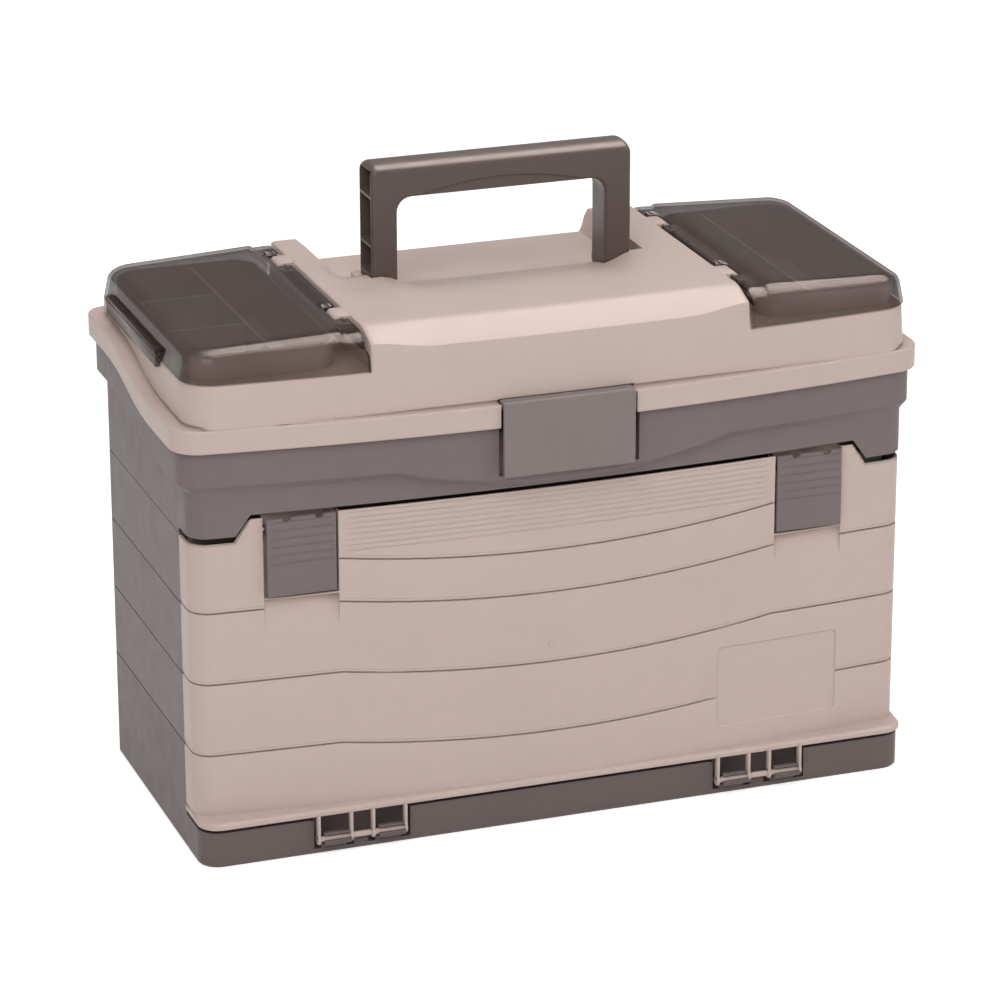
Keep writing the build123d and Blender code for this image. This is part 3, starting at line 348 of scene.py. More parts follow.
def easeStep(low, high, value):
    f = ramp(low, high, value)
    return f * f * (3 - 2 * f)


def bowedY(half, front, bow, x):
    # a front that curves back by bow at its ends
    return front + bow * (x / half) ** 2


def sideSpan(side, near, far):
    return sorted((side * near, side * far))


def mirrored(values):
    return sorted({-v for v in values} | set(values))


def addSheet(bm, columns, rows, place):
    # a grid whose points are put in place one by one; it faces out when columns run anticlockwise
    verts = bmesh.ops.create_grid(bm, x_segments=columns, y_segments=rows, size=1.0)["verts"]
    for vert in verts:
        column = round((vert.co.x + 1) / 2 * columns)
        row = round((vert.co.y + 1) / 2 * rows)
        vert.co = place(column, row)
    return verts


def addBlock(bm, low, high, rounding=0.0, segments=2):
    verts = bmesh.ops.create_cube(bm, size=1.0)["verts"]
    size = Vector(high) - Vector(low)
    bmesh.ops.scale(bm, vec=size, verts=verts)
    bmesh.ops.translate(bm, vec=(Vector(low) + Vector(high)) / 2, verts=verts)
    if rounding > 0:
        edges = list(dict.fromkeys(edge for vert in verts for edge in vert.link_edges))
        bmesh.ops.bevel(bm, geom=edges, offset=rounding, segments=segments, profile=0.5, affect="EDGES",
                        material=-1)


def addRod(bm, start, end, radius, segments=20, rounding=0.0):
    start, end = Vector(start), Vector(end)
    turn = (end - start).to_track_quat("Z", "Y").to_matrix().to_4x4()
    place = turn.copy()
    place.translation = (start + end) / 2
    verts = bmesh.ops.create_cone(bm, cap_ends=True, segments=segments, radius1=radius, radius2=radius,
                                  depth=(end - start).length, matrix=place)["verts"]
    if rounding > 0:
        faces = dict.fromkeys(face for vert in verts for face in vert.link_faces)
        caps = [face for face in faces if len(face.verts) == segments]
        edges = list(dict.fromkeys(edge for face in caps for edge in face.edges))
        bmesh.ops.bevel(bm, geom=edges, offset=rounding, segments=2, profile=0.5, affect="EDGES", material=-1)


def addRodX(bm, x0, x1, y, z, radius, segments=20, rounding=0.0):
    addRod(bm, (x0, y, z), (x1, y, z), radius, segments, rounding)


def addThickness(bm, reach):
    # pushes a copy of the open sheet out by reach and closes the edge between them
    skin = bmesh.ops.extrude_face_region(bm, geom=bm.faces[:])["geom"]
    bmesh.ops.translate(bm, vec=reach, verts=[item for item in skin if isinstance(item, bmesh.types.BMVert)])
    bmesh.ops.recalc_face_normals(bm, faces=bm.faces)


def closeEnds(bm):
    bmesh.ops.holes_fill(bm, edges=[edge for edge in bm.edges if edge.is_boundary], sides=0)
    bmesh.ops.recalc_face_normals(bm, faces=bm.faces)


def mergeShape(bm, other):
    mesh = bpy.data.meshes.new("merged")
    other.to_mesh(mesh)
    other.free()
    bm.from_mesh(mesh)
    bpy.data.meshes.remove(mesh)


def carve(bm, cutter):
    # takes the cutter's shape out of bm
    scratch = []
    for label, source in (("carved", bm), ("cutter", cutter)):
        mesh = bpy.data.meshes.new(label)
        source.to_mesh(mesh)
        scratch.append(addObject(label, mesh))
    cut = scratch[0].modifiers.new("cut", "BOOLEAN")
    cut.object = scratch[1]
    cut.operation = "DIFFERENCE"
    cut.solver = "EXACT"
    shape = bpy.data.meshes.new_from_object(scratch[0].evaluated_get(bpy.context.evaluated_depsgraph_get()))
    bm.clear()
    bm.from_mesh(shape)
    cutter.free()
    for item in scratch:
        bpy.data.objects.remove(item)


def finishPiece(name, bm, finish, body, replaced, smoothAngle=38, wall=0.0):
    bmesh.ops.remove_doubles(bm, verts=bm.verts, dist=0.001)
    bmesh.ops.scale(bm, vec=(0.001, 0.001, 0.001), verts=bm.verts)
    mesh = bpy.data.meshes.new(name)
    bm.to_mesh(mesh)
    bm.free()
    mesh.materials.append(materials[finish])
    mesh.shade_smooth()
    mesh.set_sharp_from_angle(angle=math.radians(smoothAngle))
    piece = addObject(name, mesh)
    if wall > 0:
        thick = piece.modifiers.new("wall", "SOLIDIFY")
        thick.thickness = wall / 1000
        thick.offset = -1.0
    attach(piece, body)
    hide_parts(*replaced)
    return piece


# plan outlines, anticlockwise seen from above, from the left end of the front on

def planOutline(half, front, bow, rear, frontRadius, rearRadius, stops, sideStops, inset=0.0, arc=8):
    half, front, rear = half - inset, front + inset, rear - inset
    frontRadius, rearRadius = frontRadius - inset, rearRadius - inset
    lean = math.atan(2 * bow / half)
    touchX = half - frontRadius + frontRadius * math.sin(lean)
    centreX = half - frontRadius
    centreY = bowedY(half, front, bow, touchX) + frontRadius * math.cos(lean)
    right = []
    for step in range(arc + 1):
        angle = blend(-math.pi / 2 + lean, 0.0, step / arc)
        right.append((centreX + frontRadius * math.cos(angle), centreY + frontRadius * math.sin(angle)))
    right += [(half, y) for y in sideStops]
    for step in range(arc + 1):
        angle = blend(0.0, math.pi / 2, step / arc)
        right.append((half - rearRadius + rearRadius * math.cos(angle),
                      rear - rearRadius + rearRadius * math.sin(angle)))
    points = [(x, bowedY(half, front, bow, x)) for x in stops] + right
    points += [(x, rear) for x in reversed(stops)]
    points += [(-x, y) for x, y in reversed(right)]
    return points


rimLook = {"rearZ": 299.0, "frontZ": 282.5, "bendRear": 75.0, "bendFront": -50.0}


def rimLine(y):
    # height of the parting line between tray and lid at y
    u = ramp(rimLook["bendRear"], rimLook["bendFront"], y)
    t = u
    for step in range(12):
        t -= (1.5 * t - 1.5 * t * t + t ** 3 - u) / (1.5 - 3 * t + 3 * t * t)
    return blend(rimLook["rearZ"], rimLook["frontZ"], t * t * (3 - 2 * t))


# lid: rim, body, raised centre with the handle's dish, and two wells

lidLook = {
    "rim": (256.4, -120.6, 19.0, 121.0, 20.0, 15.0), "rimHeight": 15.5, "grooveGap": 3.2,
    "foot": (248.0, -115.8, 12.2, 113.0, 22.0, 13.0), "footZ": 291.0,
    "bend": (246.4, -111.5, 12.2, 112.2, 22.0, 13.0), "bendZ": 341.0,
    "topFront": -92.0, "topRear": 109.0, "topBow": 12.9, "topHalf": 240.0, "topZ": 351.5,
    "topRounding": 5.0, "topSoft": 3.2, "rearRounding": 3.0, "bendRise": 4.5, "riseX": (86.0, 127.0),
    "deckZ": 326.4, "centreHalf": 129.0, "shell": 1.0,
    "dishFloor": 335.8, "dishStart": -52.0, "dishEnd": 62.0, "dishLeft": -96.0, "dishRight": 92.0,
    "leftSlope": 17.0, "rightSlope": 6.0, "legRest": (15.0, 35.0), "dent": (2.2, -108.0, 14.0, 8.0, 26.0),
    "slots": ((-91.5, -64.5), (71.5, 98.5)), "slotFront": 5.5, "slotRear": 35.5, "slotFloor": 326.0,
    "latchHalf": 46.5, "latchBackY": -106.5, "latchCeiling": 300.6,
    "well": (147.0, 239.0, -92.0, 101.0), "wellFloor": 305.0, "coamingTop": 343.0, "wellWall": 2.2,
    "wellRadius": 18.0, "tabs": (67.0, -55.0), "tabHalf": 9.0, "hingeX": 135.6, "hingeZ": 347.4,
    "bossY": (22.0, 33.0), "bossZ": (333.0, 349.5), "bossWidth": 6.0,
    "rearHingeX": 150.0, "rearHingeY": 122.5, "rearHingeZ": 299.0, "earRadius": 3.6, "earStart": 8.4,
    "earWidth": 11.0, "earBlock": (119.0, 299.5, 307.0),
}
centreEdges = {127.6: 0.25, 128.6: 0.8, 129: 1.9}     # rounding of the centre's last columns
lidSideStops = [-74, -66, -58, -50, -42, -32, -20, -8, 4, 16, 28, 40, 50, 60, 68, 75, 84]
lidCentreStops = mirrored([0, 12, 24, 36, 46.2, 46.5, 54, 60, 64.3, 64.7, 71.3, 71.7, 78, 85, 91.3, 91.7, 94,
                           96, 98.3, 98.7, 102, 107, 112, 117, 122, 126, *centreEdges])
lidStops = mirrored(lidCentreStops + [140, 155, 170, 185, 200, 212, 222])


def lidOutline(name, inset=0.0):
    return planOutline(*lidLook[name], lidStops, lidSideStops, inset=inset)


def addLidSkirt(bm):
    # inside of the rim, its rounded edges, the groove at its top, then the body wall up to the deck
    look = lidLook
    rim = [lidOutline("rim", inset) for inset in (0.0, 0.6, 2.4, 3.0)]
    foot, footIn = lidOutline("foot"), lidOutline("foot", 2.0)
    bend, bendIn = lidOutline("bend"), lidOutline("bend", 2.0)
    top = look["rimHeight"]
    rows = [(3, 12.0), (3, 0.7), (2, 0.0), (1, 0.0), (0, 0.7), (0, top - 2.6), (0, top - 1.0), (1, top - 0.2),
            (2, top)]
    wallRows = [(0.0, -0.2), (0.0, 1.8), (0.0, 2.2), (0.0, 2.45), (0.0, 2.7), (0.35, 0.0), (0.7, 0.0),
                (1.0, -2.0), (1.0, -0.6), (1.0, 0.0)]
    count = len(foot)

    def place(column, row):
        index = column % count
        x, y = foot[index]
        line = rimLine(y)
        if row < len(rows):
            ring, lift = rows[row]
            px, py = rim[ring][index]
            z = line + lift
        else:
            share, extra = wallRows[row - len(rows)]
            z = blend(line + top, look["deckZ"], share) + extra
            f = (z - look["footZ"]) / (look["bendZ"] - look["footZ"])
            edge = 0.0
            if share == 1.0 and abs(x) > look["centreHalf"]:
                edge = {-0.6: 0.3, 0.0: 1.0}.get(extra, 0.0)
            inner = blendPair(footIn[index], bendIn[index], f)
            px, py = blendPair(blendPair(foot[index], bend[index], f), inner, edge)
            if share == 0.0 and extra < 2.3:
                outward = Vector((px - inner[0], py - inner[1])).normalized()
                gap = (Vector(rim[2][index]) - Vector((px, py))).dot(outward)
                groove = easeStep(0.4, look["grooveGap"], gap)
                z = line + top + extra * blend(0.15, 1.0, groove)
                if extra < 2.0:
                    px, py = blendPair((px, py), inner, groove)
        if y < 0 and abs(x) < look["latchHalf"] - 0.1 and z < look["latchCeiling"]:
            py = look["latchBackY"]
        return px, py, z

    addSheet(bm, count, len(rows) + len(wallRows) - 1, place)


def dishDrop(x, y):
    # how far the centre's top lies below its highest level
    look = lidLook
    depth = look["topZ"] - look["dishFloor"]
    along = easeStep(look["dishStart"], look["dishEnd"], y)
    (leftOuter, leftInner), (rightInner, rightOuter) = look["slots"]
    between = easeStep(leftOuter + 6, leftInner + 4, x) * (1 - easeStep(rightInner - 4, rightOuter - 4, x))
    left = easeStep(look["dishLeft"] - look["leftSlope"], look["dishLeft"], x)
    right = 1 - easeStep(look["dishRight"], look["dishRight"] + look["rightSlope"], x)
    behind = easeStep(*look["legRest"], y)       # full depth where the folded legs lie
    front = between * along
    rear = left * right * blend(along, 1.0, behind)
    deepest, dentX, reachX, dentY, reachY = look["dent"]
    dent = deepest * math.exp(-((x - dentX) / reachX) ** 2 - ((y - dentY) / reachY) ** 2)
    return depth * blend(front, rear, behind) + dent


def addLidCentre(bm):
    # columns across, rows from the foot of the front wall over the top and down the rear wall
    look = lidLook
    topZ, deckZ = look["topZ"], look["deckZ"]
    stops = lidCentreStops
    topYs = [-80, -70, -60, -52, -46, -38, -30, -22, -14, -6, 0, 5.3, 5.7, 12, 20, 28, 35.3, 35.7, 40, 46,
             52, 58, 64, 72, 80, 88, 96]

    def wallY(z, x, name):
        foot, bend = look["foot"], look["bend"]
        f = (z - look["footZ"]) / (look["bendZ"] - look["footZ"])
        if name == "front":
            a, b = bowedY(*foot[:3], x), bowedY(*bend[:3], x)
        else:
            a, b = foot[3], bend[3]
        return blend(a, b, f)

    def profile(x):
        rise = look["bendRise"] * easeStep(*look["riseX"], abs(x))
        bendZ = look["bendZ"] + rise - 1.2
        topY = bowedY(look["topHalf"], look["topFront"], look["topBow"], x)
        bendY = wallY(bendZ, x, "front")
        slope = Vector((topY - bendY, topZ - bendZ)).normalized()
        r, soft = look["topRounding"], look["topSoft"]
        points = [(wallY(z, x, "front"), z) for z in (deckZ, blend(deckZ, bendZ, 0.5),
                                                      bendZ - soft)]
        points += [(bendY + 0.35, bendZ - 0.2), (bendY + slope.x * soft, bendZ + slope.y * soft),
                   blendPair((bendY, bendZ), (topY, topZ), 0.55)]
        corner = Vector((topY, topZ))
        start, end = corner - slope * r, Vector((topY + r, topZ))
        for f in (0.0, 0.25, 0.5, 0.75, 1.0):
            points.append(tuple(start * (1 - f) ** 2 + corner * 2 * f * (1 - f) + end * f * f))
        points.append((topY + r + 3, topZ))
        points += [(y, topZ - dishDrop(x, y)) for y in topYs]
        rearTop = points[-1][1]
        rear, r = look["topRear"], look["rearRounding"]
        points += [(rear - r - 2, rearTop), (rear - r * 0.9, rearTop - 0.1),
                   (rear - r * 0.3, rearTop - r * 0.3), (rear + 0.4, rearTop - r * 0.95)]
        for f in (0.35, 0.7, 1.0):
            z = blend(rearTop - r, deckZ, f)
            points.append((wallY(z, x, "rear"), z))
        return points

    profiles = {x: profile(x) for x in stops}
    rowCount = len(profiles[stops[0]])

    def place(column, row):
        x = stops[column]
        points = profiles[x]
        y, z = points[row]
        edge = centreEdges.get(abs(x), 0.0)
        before, after = points[max(row - 1, 0)], points[min(row + 1, rowCount - 1)]
        run = Vector((after[0] - before[0], after[1] - before[1])).normalized()
        fade = easeStep(deckZ + 0.5, deckZ + 7, z)
        y, z = y + run.y * edge * fade, z - run.x * edge * fade
        for left, right in look["slots"]:
            if left < x < right and look["slotFront"] < y < look["slotRear"]:
                z = look["slotFloor"]
        return x, y, z

    addSheet(bm, len(stops) - 1, rowCount - 1, place)


def roundedRectangle(x0, x1, y0, y1, radius, arc=7):
    points = []
    corners = ((x1 - radius, y0 + radius, -90), (x1 - radius, y1 - radius, 0),
               (x0 + radius, y1 - radius, 90), (x0 + radius, y0 + radius, 180))
    for cx, cy, start in corners:
        for step in range(arc + 1):
            angle = math.radians(start + 90 * step / arc)
            points.append((cx + radius * math.cos(angle), cy + radius * math.sin(angle)))
    return points


def addWell(bm, side):
    # coaming wall up from the deck, over its edge and down to the well's floor
    look = lidLook
    wellFloor = look["wellFloor"]
    x0, x1, y0, y1 = look["well"]
    x0, x1 = sideSpan(side, x0, x1)
    w = look["wellWall"]
    rows = [(0.0, look["deckZ"]), (0.0, look["coamingTop"] - 0.7), (0.5, look["coamingTop"]),
            (w - 0.5, look["coamingTop"]), (w, look["coamingTop"] - 0.7), (w, wellFloor + 3.0),
            (w + 0.9, wellFloor + 0.9), (w + 3.0, wellFloor)]
    rings = [roundedRectangle(x0 - w + inset, x1 + w - inset, y0 - w + inset, y1 + w - inset,
                              look["wellRadius"] - inset) for inset, z in rows]
    count = len(rings[0])
    verts = addSheet(bm, count, len(rows) - 1,
                     lambda column, row: (*rings[row][column % count], rows[row][1]))
    floorVerts = [v for v in verts if abs(v.co.z - wellFloor) < 0.001]
    middle = bm.verts.new(((x0 + x1) / 2, (y0 + y1) / 2, wellFloor))
    ring = sorted(floorVerts, key=lambda v: math.atan2(v.co.y - middle.co.y, v.co.x - middle.co.x))
    for a, b in zip(ring, ring[1:] + ring[:1]):
        if (a.co - b.co).length > 0.001:
            bm.faces.new((middle, a, b))


def fillPlanar(bm, inside, normal):
    # fills what open edges enclose in one plane, holes left open
    edges = [e for e in bm.edges if len(e.link_faces) < 2 and all(inside(v.co) for v in e.verts)]
    bmesh.ops.triangle_fill(bm, use_beauty=True, use_dissolve=False, edges=edges, normal=normal)


def buildLid():
    look = lidLook
    tabHalf, hingeZ = look["tabHalf"], look["hingeZ"]
    bm = bmesh.new()
    addLidSkirt(bm)
    addLidCentre(bm)
    for side in (-1, 1):
        addWell(bm, side)
    bmesh.ops.remove_doubles(bm, verts=bm.verts, dist=0.01)
    for side in (-1, 1):
        edgeX = side * look["centreHalf"]
        ends = [v for v in bm.verts if abs(v.co.x - edgeX) < 0.01 and abs(v.co.z - look["deckZ"]) < 0.01]
        ends.sort(key=lambda v: v.co.y)
        bm.edges.new((ends[0], ends[-1]))
        fillPlanar(bm, lambda co: abs(co.x - edgeX) < 0.01 and co.z > look["deckZ"] - 0.01, (side, 0, 0))
        fillPlanar(bm, lambda co: side * co.x > look["centreHalf"] - 0.01
                   and abs(co.z - look["deckZ"]) < 0.01, (0, 0, 1))
    bmesh.ops.recalc_face_normals(bm, faces=bm.faces)
    finishPiece("lidBody", bm, "tanPlastic", "lid", ["lid_shell"], wall=look["shell"])
    bm = bmesh.new()
    for side in (-1, 1):
        for y in look["tabs"]:
            x0, x1 = sideSpan(side, look["centreHalf"] - 3, look["hingeX"])
            addBlock(bm, (x0, y - tabHalf, hingeZ - 3.4),
                     (x1, y + tabHalf, hingeZ + 3.4), 0.8)
            addRod(bm, (side * look["hingeX"], y - tabHalf, hingeZ),
                   (side * look["hingeX"], y + tabHalf, hingeZ), 3.4, rounding=0.6)
    for outer, step in ((look["slots"][0][0], -1), (look["slots"][1][1], 1)):
        x0, x1 = sorted((outer, outer + step * look["bossWidth"]))
        addBlock(bm, (x0, look["bossY"][0], look["bossZ"][0]),
                 (x1, look["bossY"][1], look["bossZ"][1]), 2.0, 3)
    earY, earLow, earHigh = look["earBlock"]
    for side in (-1, 1):
        for step in (-1, 1):
            start = side * look["rearHingeX"] + step * look["earStart"]
            end = start + step * look["earWidth"]
            addRodX(bm, start, end, look["rearHingeY"], look["rearHingeZ"], look["earRadius"], rounding=0.5)
            x0, x1 = sorted((start, end))
            addBlock(bm, (x0, earY, earLow), (x1, look["rearHingeY"] + 2.6, earHigh), 0.8)
    finishPiece("lidFittings", bm, "tanPlastic", "lid", ["lid_shell"])


buildLid()
print("lid built")


# smoke lids: thin clear shells hinged on the lid's centre

smokeLook = {
    "innerX": 132.0, "topX": 243.0, "footX": 248.0, "frontTop": -107.0, "bow": 12.2,
    "rearTop": 109.0, "topZ": 352.2, "outerDrop": 5.5, "footZ": 327.0, "wall": 2.2,
    "cornerRadius": 15.0, "edgeRadius": 9.5, "sideEdge": 0.55, "lipZ": 341.0, "channelX": 144.5,
    "channelHalf": 1.2, "channelDrop": 1.7, "bowLevel": 0.8,
    "hingeYs": (67.0, -55.0), "notchHalf": 13.0, "notchX": 140.6, "axisX": 135.6, "axisZ": 347.4,
    "beadRadius": 3.2, "beadLength": 9.0,
    "barY": (-39.0, 81.0), "barZ": (321.6, 333.4), "barX": (247.2, 250.9), "barRoot": 244.5,
    "postX": 246.6, "postZ": (325.0, 334.5), "postRadius": 3.0,
}


def smokeRings(look):
    # radius and drop of each ring round the flat top, through the rounded edge and down the wall
    flat = look["cornerRadius"] - look["edgeRadius"]
    rings = [(flat * f, 0.0) for f in (0.0, 0.3, 0.6, 0.85, 1.0)]
    for step in range(1, 6):
        angle = math.pi / 2 * step / 5
        rings.append((flat + look["edgeRadius"] * math.sin(angle),
                      look["edgeRadius"] * (1 - math.cos(angle))))
    rings += [(look["cornerRadius"], f) for f in (0.3, 0.6, 0.85, 0.97, 1.0)]
    return rings


def buildSmokeLid(name, side):
    look = smokeLook
    topX, cornerRadius = look["topX"], look["cornerRadius"]
    rings = smokeRings(look)
    reach = len(rings) - 1
    walls = 5
    centreX = topX - cornerRadius
    rearY = look["rearTop"] - cornerRadius
    frontY = look["frontTop"] + look["bow"] * look["bowLevel"] + cornerRadius
    n = look["notchHalf"]
    innerX, channelX, channelHalf = look["innerX"], look["channelX"], look["channelHalf"]
    columnsX = [innerX, innerX, innerX + 0.3, innerX + 1.4, 136, look["notchX"], channelX - channelHalf,
                channelX, channelX + channelHalf, 155, 168, 181, 195, 208, centreX]
    rowsY = [frontY]
    for middle in sorted(look["hingeYs"]):
        rowsY += [middle - n, middle - n + 3, middle, middle + n - 3, middle + n]
    rowsY = sorted(rowsY + [-30, -15, 0, 20, 38, rearY])
    columns = len(columnsX) - 1 + reach
    rows = reach + len(rowsY) - 1 + reach

    def topZ(x):
        fall = look["outerDrop"] * (x - innerX) / (look["footX"] - innerX)
        channel = look["channelDrop"] * (1 - easeStep(channelX - channelHalf, channelX + channelHalf, x))
        return look["topZ"] - fall - channel

    def place(column, row):
        ringX = max(column - (len(columnsX) - 1), 0)
        ringY = max(reach - row, row - (reach + len(rowsY) - 1), 0)
        outward = -1 if row < reach else 1
        x = columnsX[min(column, len(columnsX) - 1)]
        y = rowsY[min(max(row - reach, 0), len(rowsY) - 1)]
        ring = max(ringX, ringY)
        radius, drop = rings[ring]
        angle = 0.0
        if ring > 0:
            small, large = sorted((ringX, ringY))
            angle = math.pi / 4 * small / large
            if ringX >= ringY:
                x += radius * math.cos(angle)
                y += outward * radius * math.sin(angle) * (1 if ringY else 0)
            else:
                x += radius * math.sin(angle) * (1 if ringX else 0)
                y += outward * radius * math.cos(angle)
        flatter = blend(look["sideEdge"], 1.0, ringY / max(ringX + ringY, 1))   # flatter at the outer side
        z = topZ(min(x, topX)) - min(drop, look["edgeRadius"]) * flatter
        if ring > reach - walls:
            z = blend(topZ(min(x, topX)) - look["edgeRadius"] * flatter, look["footZ"], drop)
        depth = max(min((look["topZ"] - z) / (look["topZ"] - look["footZ"]), 1.0), 0.0)
        pull = (look["footX"] - topX) * depth
        if ringX > 0:
            x += pull * min(1.0, (x - centreX) / cornerRadius)
        if ringY > 0:
            share = min(1.0, radius * (math.cos(angle) if ringY > ringX else math.sin(angle))
                        / cornerRadius)
            y += outward * (pull + 1.0 * depth) * share
            if outward < 0:
                y += look["bow"] * ((x / topX) ** 2 - look["bowLevel"]) * share
        if column <= 1 and ring <= reach - walls:
            z = min(z, look["topZ"] - 1.2 if column == 1 else look["lipZ"])
        elif column <= 3:
            z -= {1: 1.2, 2: 0.5, 3: 0.1}.get(column, 0)
        z = max(z, look["footZ"])
        return side * x, y, z

    bm = bmesh.new()
    addSheet(bm, columns, rows, place)
    cutFaces = [f for f in bm.faces if abs(f.calc_center_median().x) < look["notchX"]
                and any(abs(f.calc_center_median().y - y) < n for y in look["hingeYs"])]
    bmesh.ops.delete(bm, geom=cutFaces, context="FACES")
    bmesh.ops.remove_doubles(bm, verts=bm.verts, dist=0.01)
    if side < 0:
        bmesh.ops.reverse_faces(bm, faces=bm.faces)
    body = f"smoke_lid_{name}"
    finishPiece(f"smokeLid_{name}", bm, "smokePlastic", body, [body], smoothAngle=50,
                wall=look["wall"])
    bm = bmesh.new()
    (frontEnd, rearEnd), (low, high) = look["barY"], look["barZ"]
    x0, x1 = sideSpan(side, *look["barX"])
    addBlock(bm, (x0, frontEnd, low), (x1, rearEnd, high), 0.9)
    x0, x1 = sideSpan(side, look["barRoot"], look["barX"][1])
    addBlock(bm, (x0, frontEnd, high - 3.0), (x1, rearEnd, high + 0.6), 0.8)
    postX = side * look["postX"]
    for y in (frontEnd + 1.6, rearEnd - 1.6):
        addRod(bm, (postX, y, look["postZ"][0]), (postX, y, look["postZ"][1]), look["postRadius"],
               rounding=0.8)
    for middle in look["hingeYs"]:
        for step in (-1, 1):
            start = middle + step * n
            addRod(bm, (side * look["axisX"], start, look["axisZ"]),
                   (side * look["axisX"], start + step * look["beadLength"], look["axisZ"]),
                   look["beadRadius"], rounding=0.6)
    finishPiece(f"smokeFittings_{name}", bm, "smokePlastic", body, [body])


buildSmokeLid("left", -1)
buildSmokeLid("right", 1)
print("smoke lids built")


# handle: a bow with a crowned grip, open pockets in its outer faces and an arched relief in front

handleLook = {
    "half": 90.5, "legWidth": 18.0, "top": 425.6, "grip": 23.0, "front": 6.5, "rear": 33.5, "foot": 341.0,
    "outerRadius": 5.0, "innerRadius": 10.0, "wall": 2.6, "webs": (403.0, 370.0), "webThick": 1.6,
    "pocketFoot": 351.5, "reliefHalf": 62.0, "reliefRise": 9.0, "reliefDepth": 1.4,
    "axisY": 28.0, "axisZ": 342.0, "footRadius": 5.5,
    "section": ((0.0, 1.6, 5.4), (0.35, 0.9, 4.2), (1.1, 0.35, 3.1), (2.4, 0.0, 2.1), (5.0, 0.0, 0.9),
                (8.5, 0.0, 0.25), (13.5, 0.0, 0.0)),
}


def handleOutline(inset, crown):
    # closed front outline: up the outer left side, over the top, down, then back along the inside
    look = handleLook
    half, top = look["half"] - inset, look["top"] - crown
    inner, low = look["half"] - look["legWidth"] + inset, look["top"] - look["grip"] + inset
    points = [(-half, look["foot"] + inset * 0.5), (-half, 352.0), (-half, 380.0), (-half, 405.0)]
    arc = 6
    for step in range(arc + 1):
        angle = math.pi - math.pi / 2 * step / arc
        points.append((-half + look["outerRadius"] + look["outerRadius"] * math.cos(angle),
                       top - look["outerRadius"] + look["outerRadius"] * math.sin(angle)))
    points += [(-60.0, top), (-30.0, top), (0.0, top)]
    points += [(-x, z) for x, z in reversed(points[:-1])]
    inside = [(inner, look["foot"] + inset * 0.5), (inner, 360.0), (inner, 378.0)]
    for step in range(arc + 1):
        angle = math.pi / 2 * step / arc
        inside.append((inner - look["innerRadius"] + look["innerRadius"] * math.cos(angle),
                       low - look["innerRadius"] + look["innerRadius"] * math.sin(angle)))
    inside += [(40.0, low), (20.0, low), (0.0, low)]
    inside += [(-x, z) for x, z in reversed(inside[:-1])]
    return points + inside


def buildHandle():
    look = handleLook
    front, rear, half, wall = look["front"], look["rear"], look["half"], look["wall"]
    rows = [(front + y, inset, crown) for y, inset, crown in look["section"]]
    rows += [(rear - y, inset, crown) for y, inset, crown in reversed(look["section"][:-1])]
    rings = [handleOutline(inset, crown) for y, inset, crown in rows]
    count = len(rings[0])
    bm = bmesh.new()
    addSheet(bm, count, len(rows) - 1,
             lambda column, row: (rings[row][column % count][0], rows[row][0], rings[row][column % count][1]))
    bmesh.ops.remove_doubles(bm, verts=bm.verts, dist=0.001)
    for y, normal in ((front, (0, -1, 0)), (rear, (0, 1, 0))):
        fillPlanar(bm, lambda co: abs(co.y - y) < 0.001, normal)
    bmesh.ops.recalc_face_normals(bm, faces=bm.faces)
    cutter = bmesh.new()
    for side in (-1, 1):
        x0, x1 = sideSpan(side, half - look["legWidth"] + wall, half + 1)
        levels = [look["pocketFoot"]]
        for web in sorted(look["webs"]):
            levels += [web, web + look["webThick"]]
        levels.append(look["top"] - wall - 1.2)
        for low, high in zip(levels[::2], levels[1::2]):
            addBlock(cutter, (x0, front + wall, low),
                     (x1, rear - wall, high), 0.5, 1)
    carve(bm, cutter)
    cutter = bmesh.new()
    low = look["top"] - look["grip"]
    steps = 24

    def arch(column, row):
        f = column / steps * 2 - 1
        z = blend(low - 3, low + look["reliefRise"] * (1 - f * f), row)
        return f * look["reliefHalf"], front - 2, z
    addSheet(cutter, steps, 1, arch)
    addThickness(cutter, (0, 2 + look["reliefDepth"], 0))
    carve(bm, cutter)
    for side in (-1, 1):
        x0, x1 = sideSpan(side, half - look["legWidth"], half)
        addRodX(bm, x0 + 0.2, x1 - 0.2, look["axisY"], look["axisZ"], look["footRadius"], 28, 0.5)
    piece = finishPiece("handleBow", bm, "handlePlastic", "handle", ["handle"],
                        smoothAngle=32)
    for polygon in piece.data.polygons:
        polygon.use_smooth = abs(polygon.normal.y) < 0.999      # the flat faces stay flat


buildHandle()
print("handle built")


# door latches: a plate with finger ridges, notches in its top edge and cheeks round its pin

doorLatchLook = {
    "x": 175.5, "width": 46.0, "low": 181.0, "top": 234.0, "plate": 3.0, "front": -104.3418,
    "grooveTop": 230.8, "groovePitch": 5.6, "grooveCount": 6, "grooveInset": 2.5, "notches": (-10.0, 12.0),
    "notchRadius": 3.0, "axisIn": 6.6, "axisZ": 226.0, "cheekRadius": 3.2, "dimple": 216.6,
}


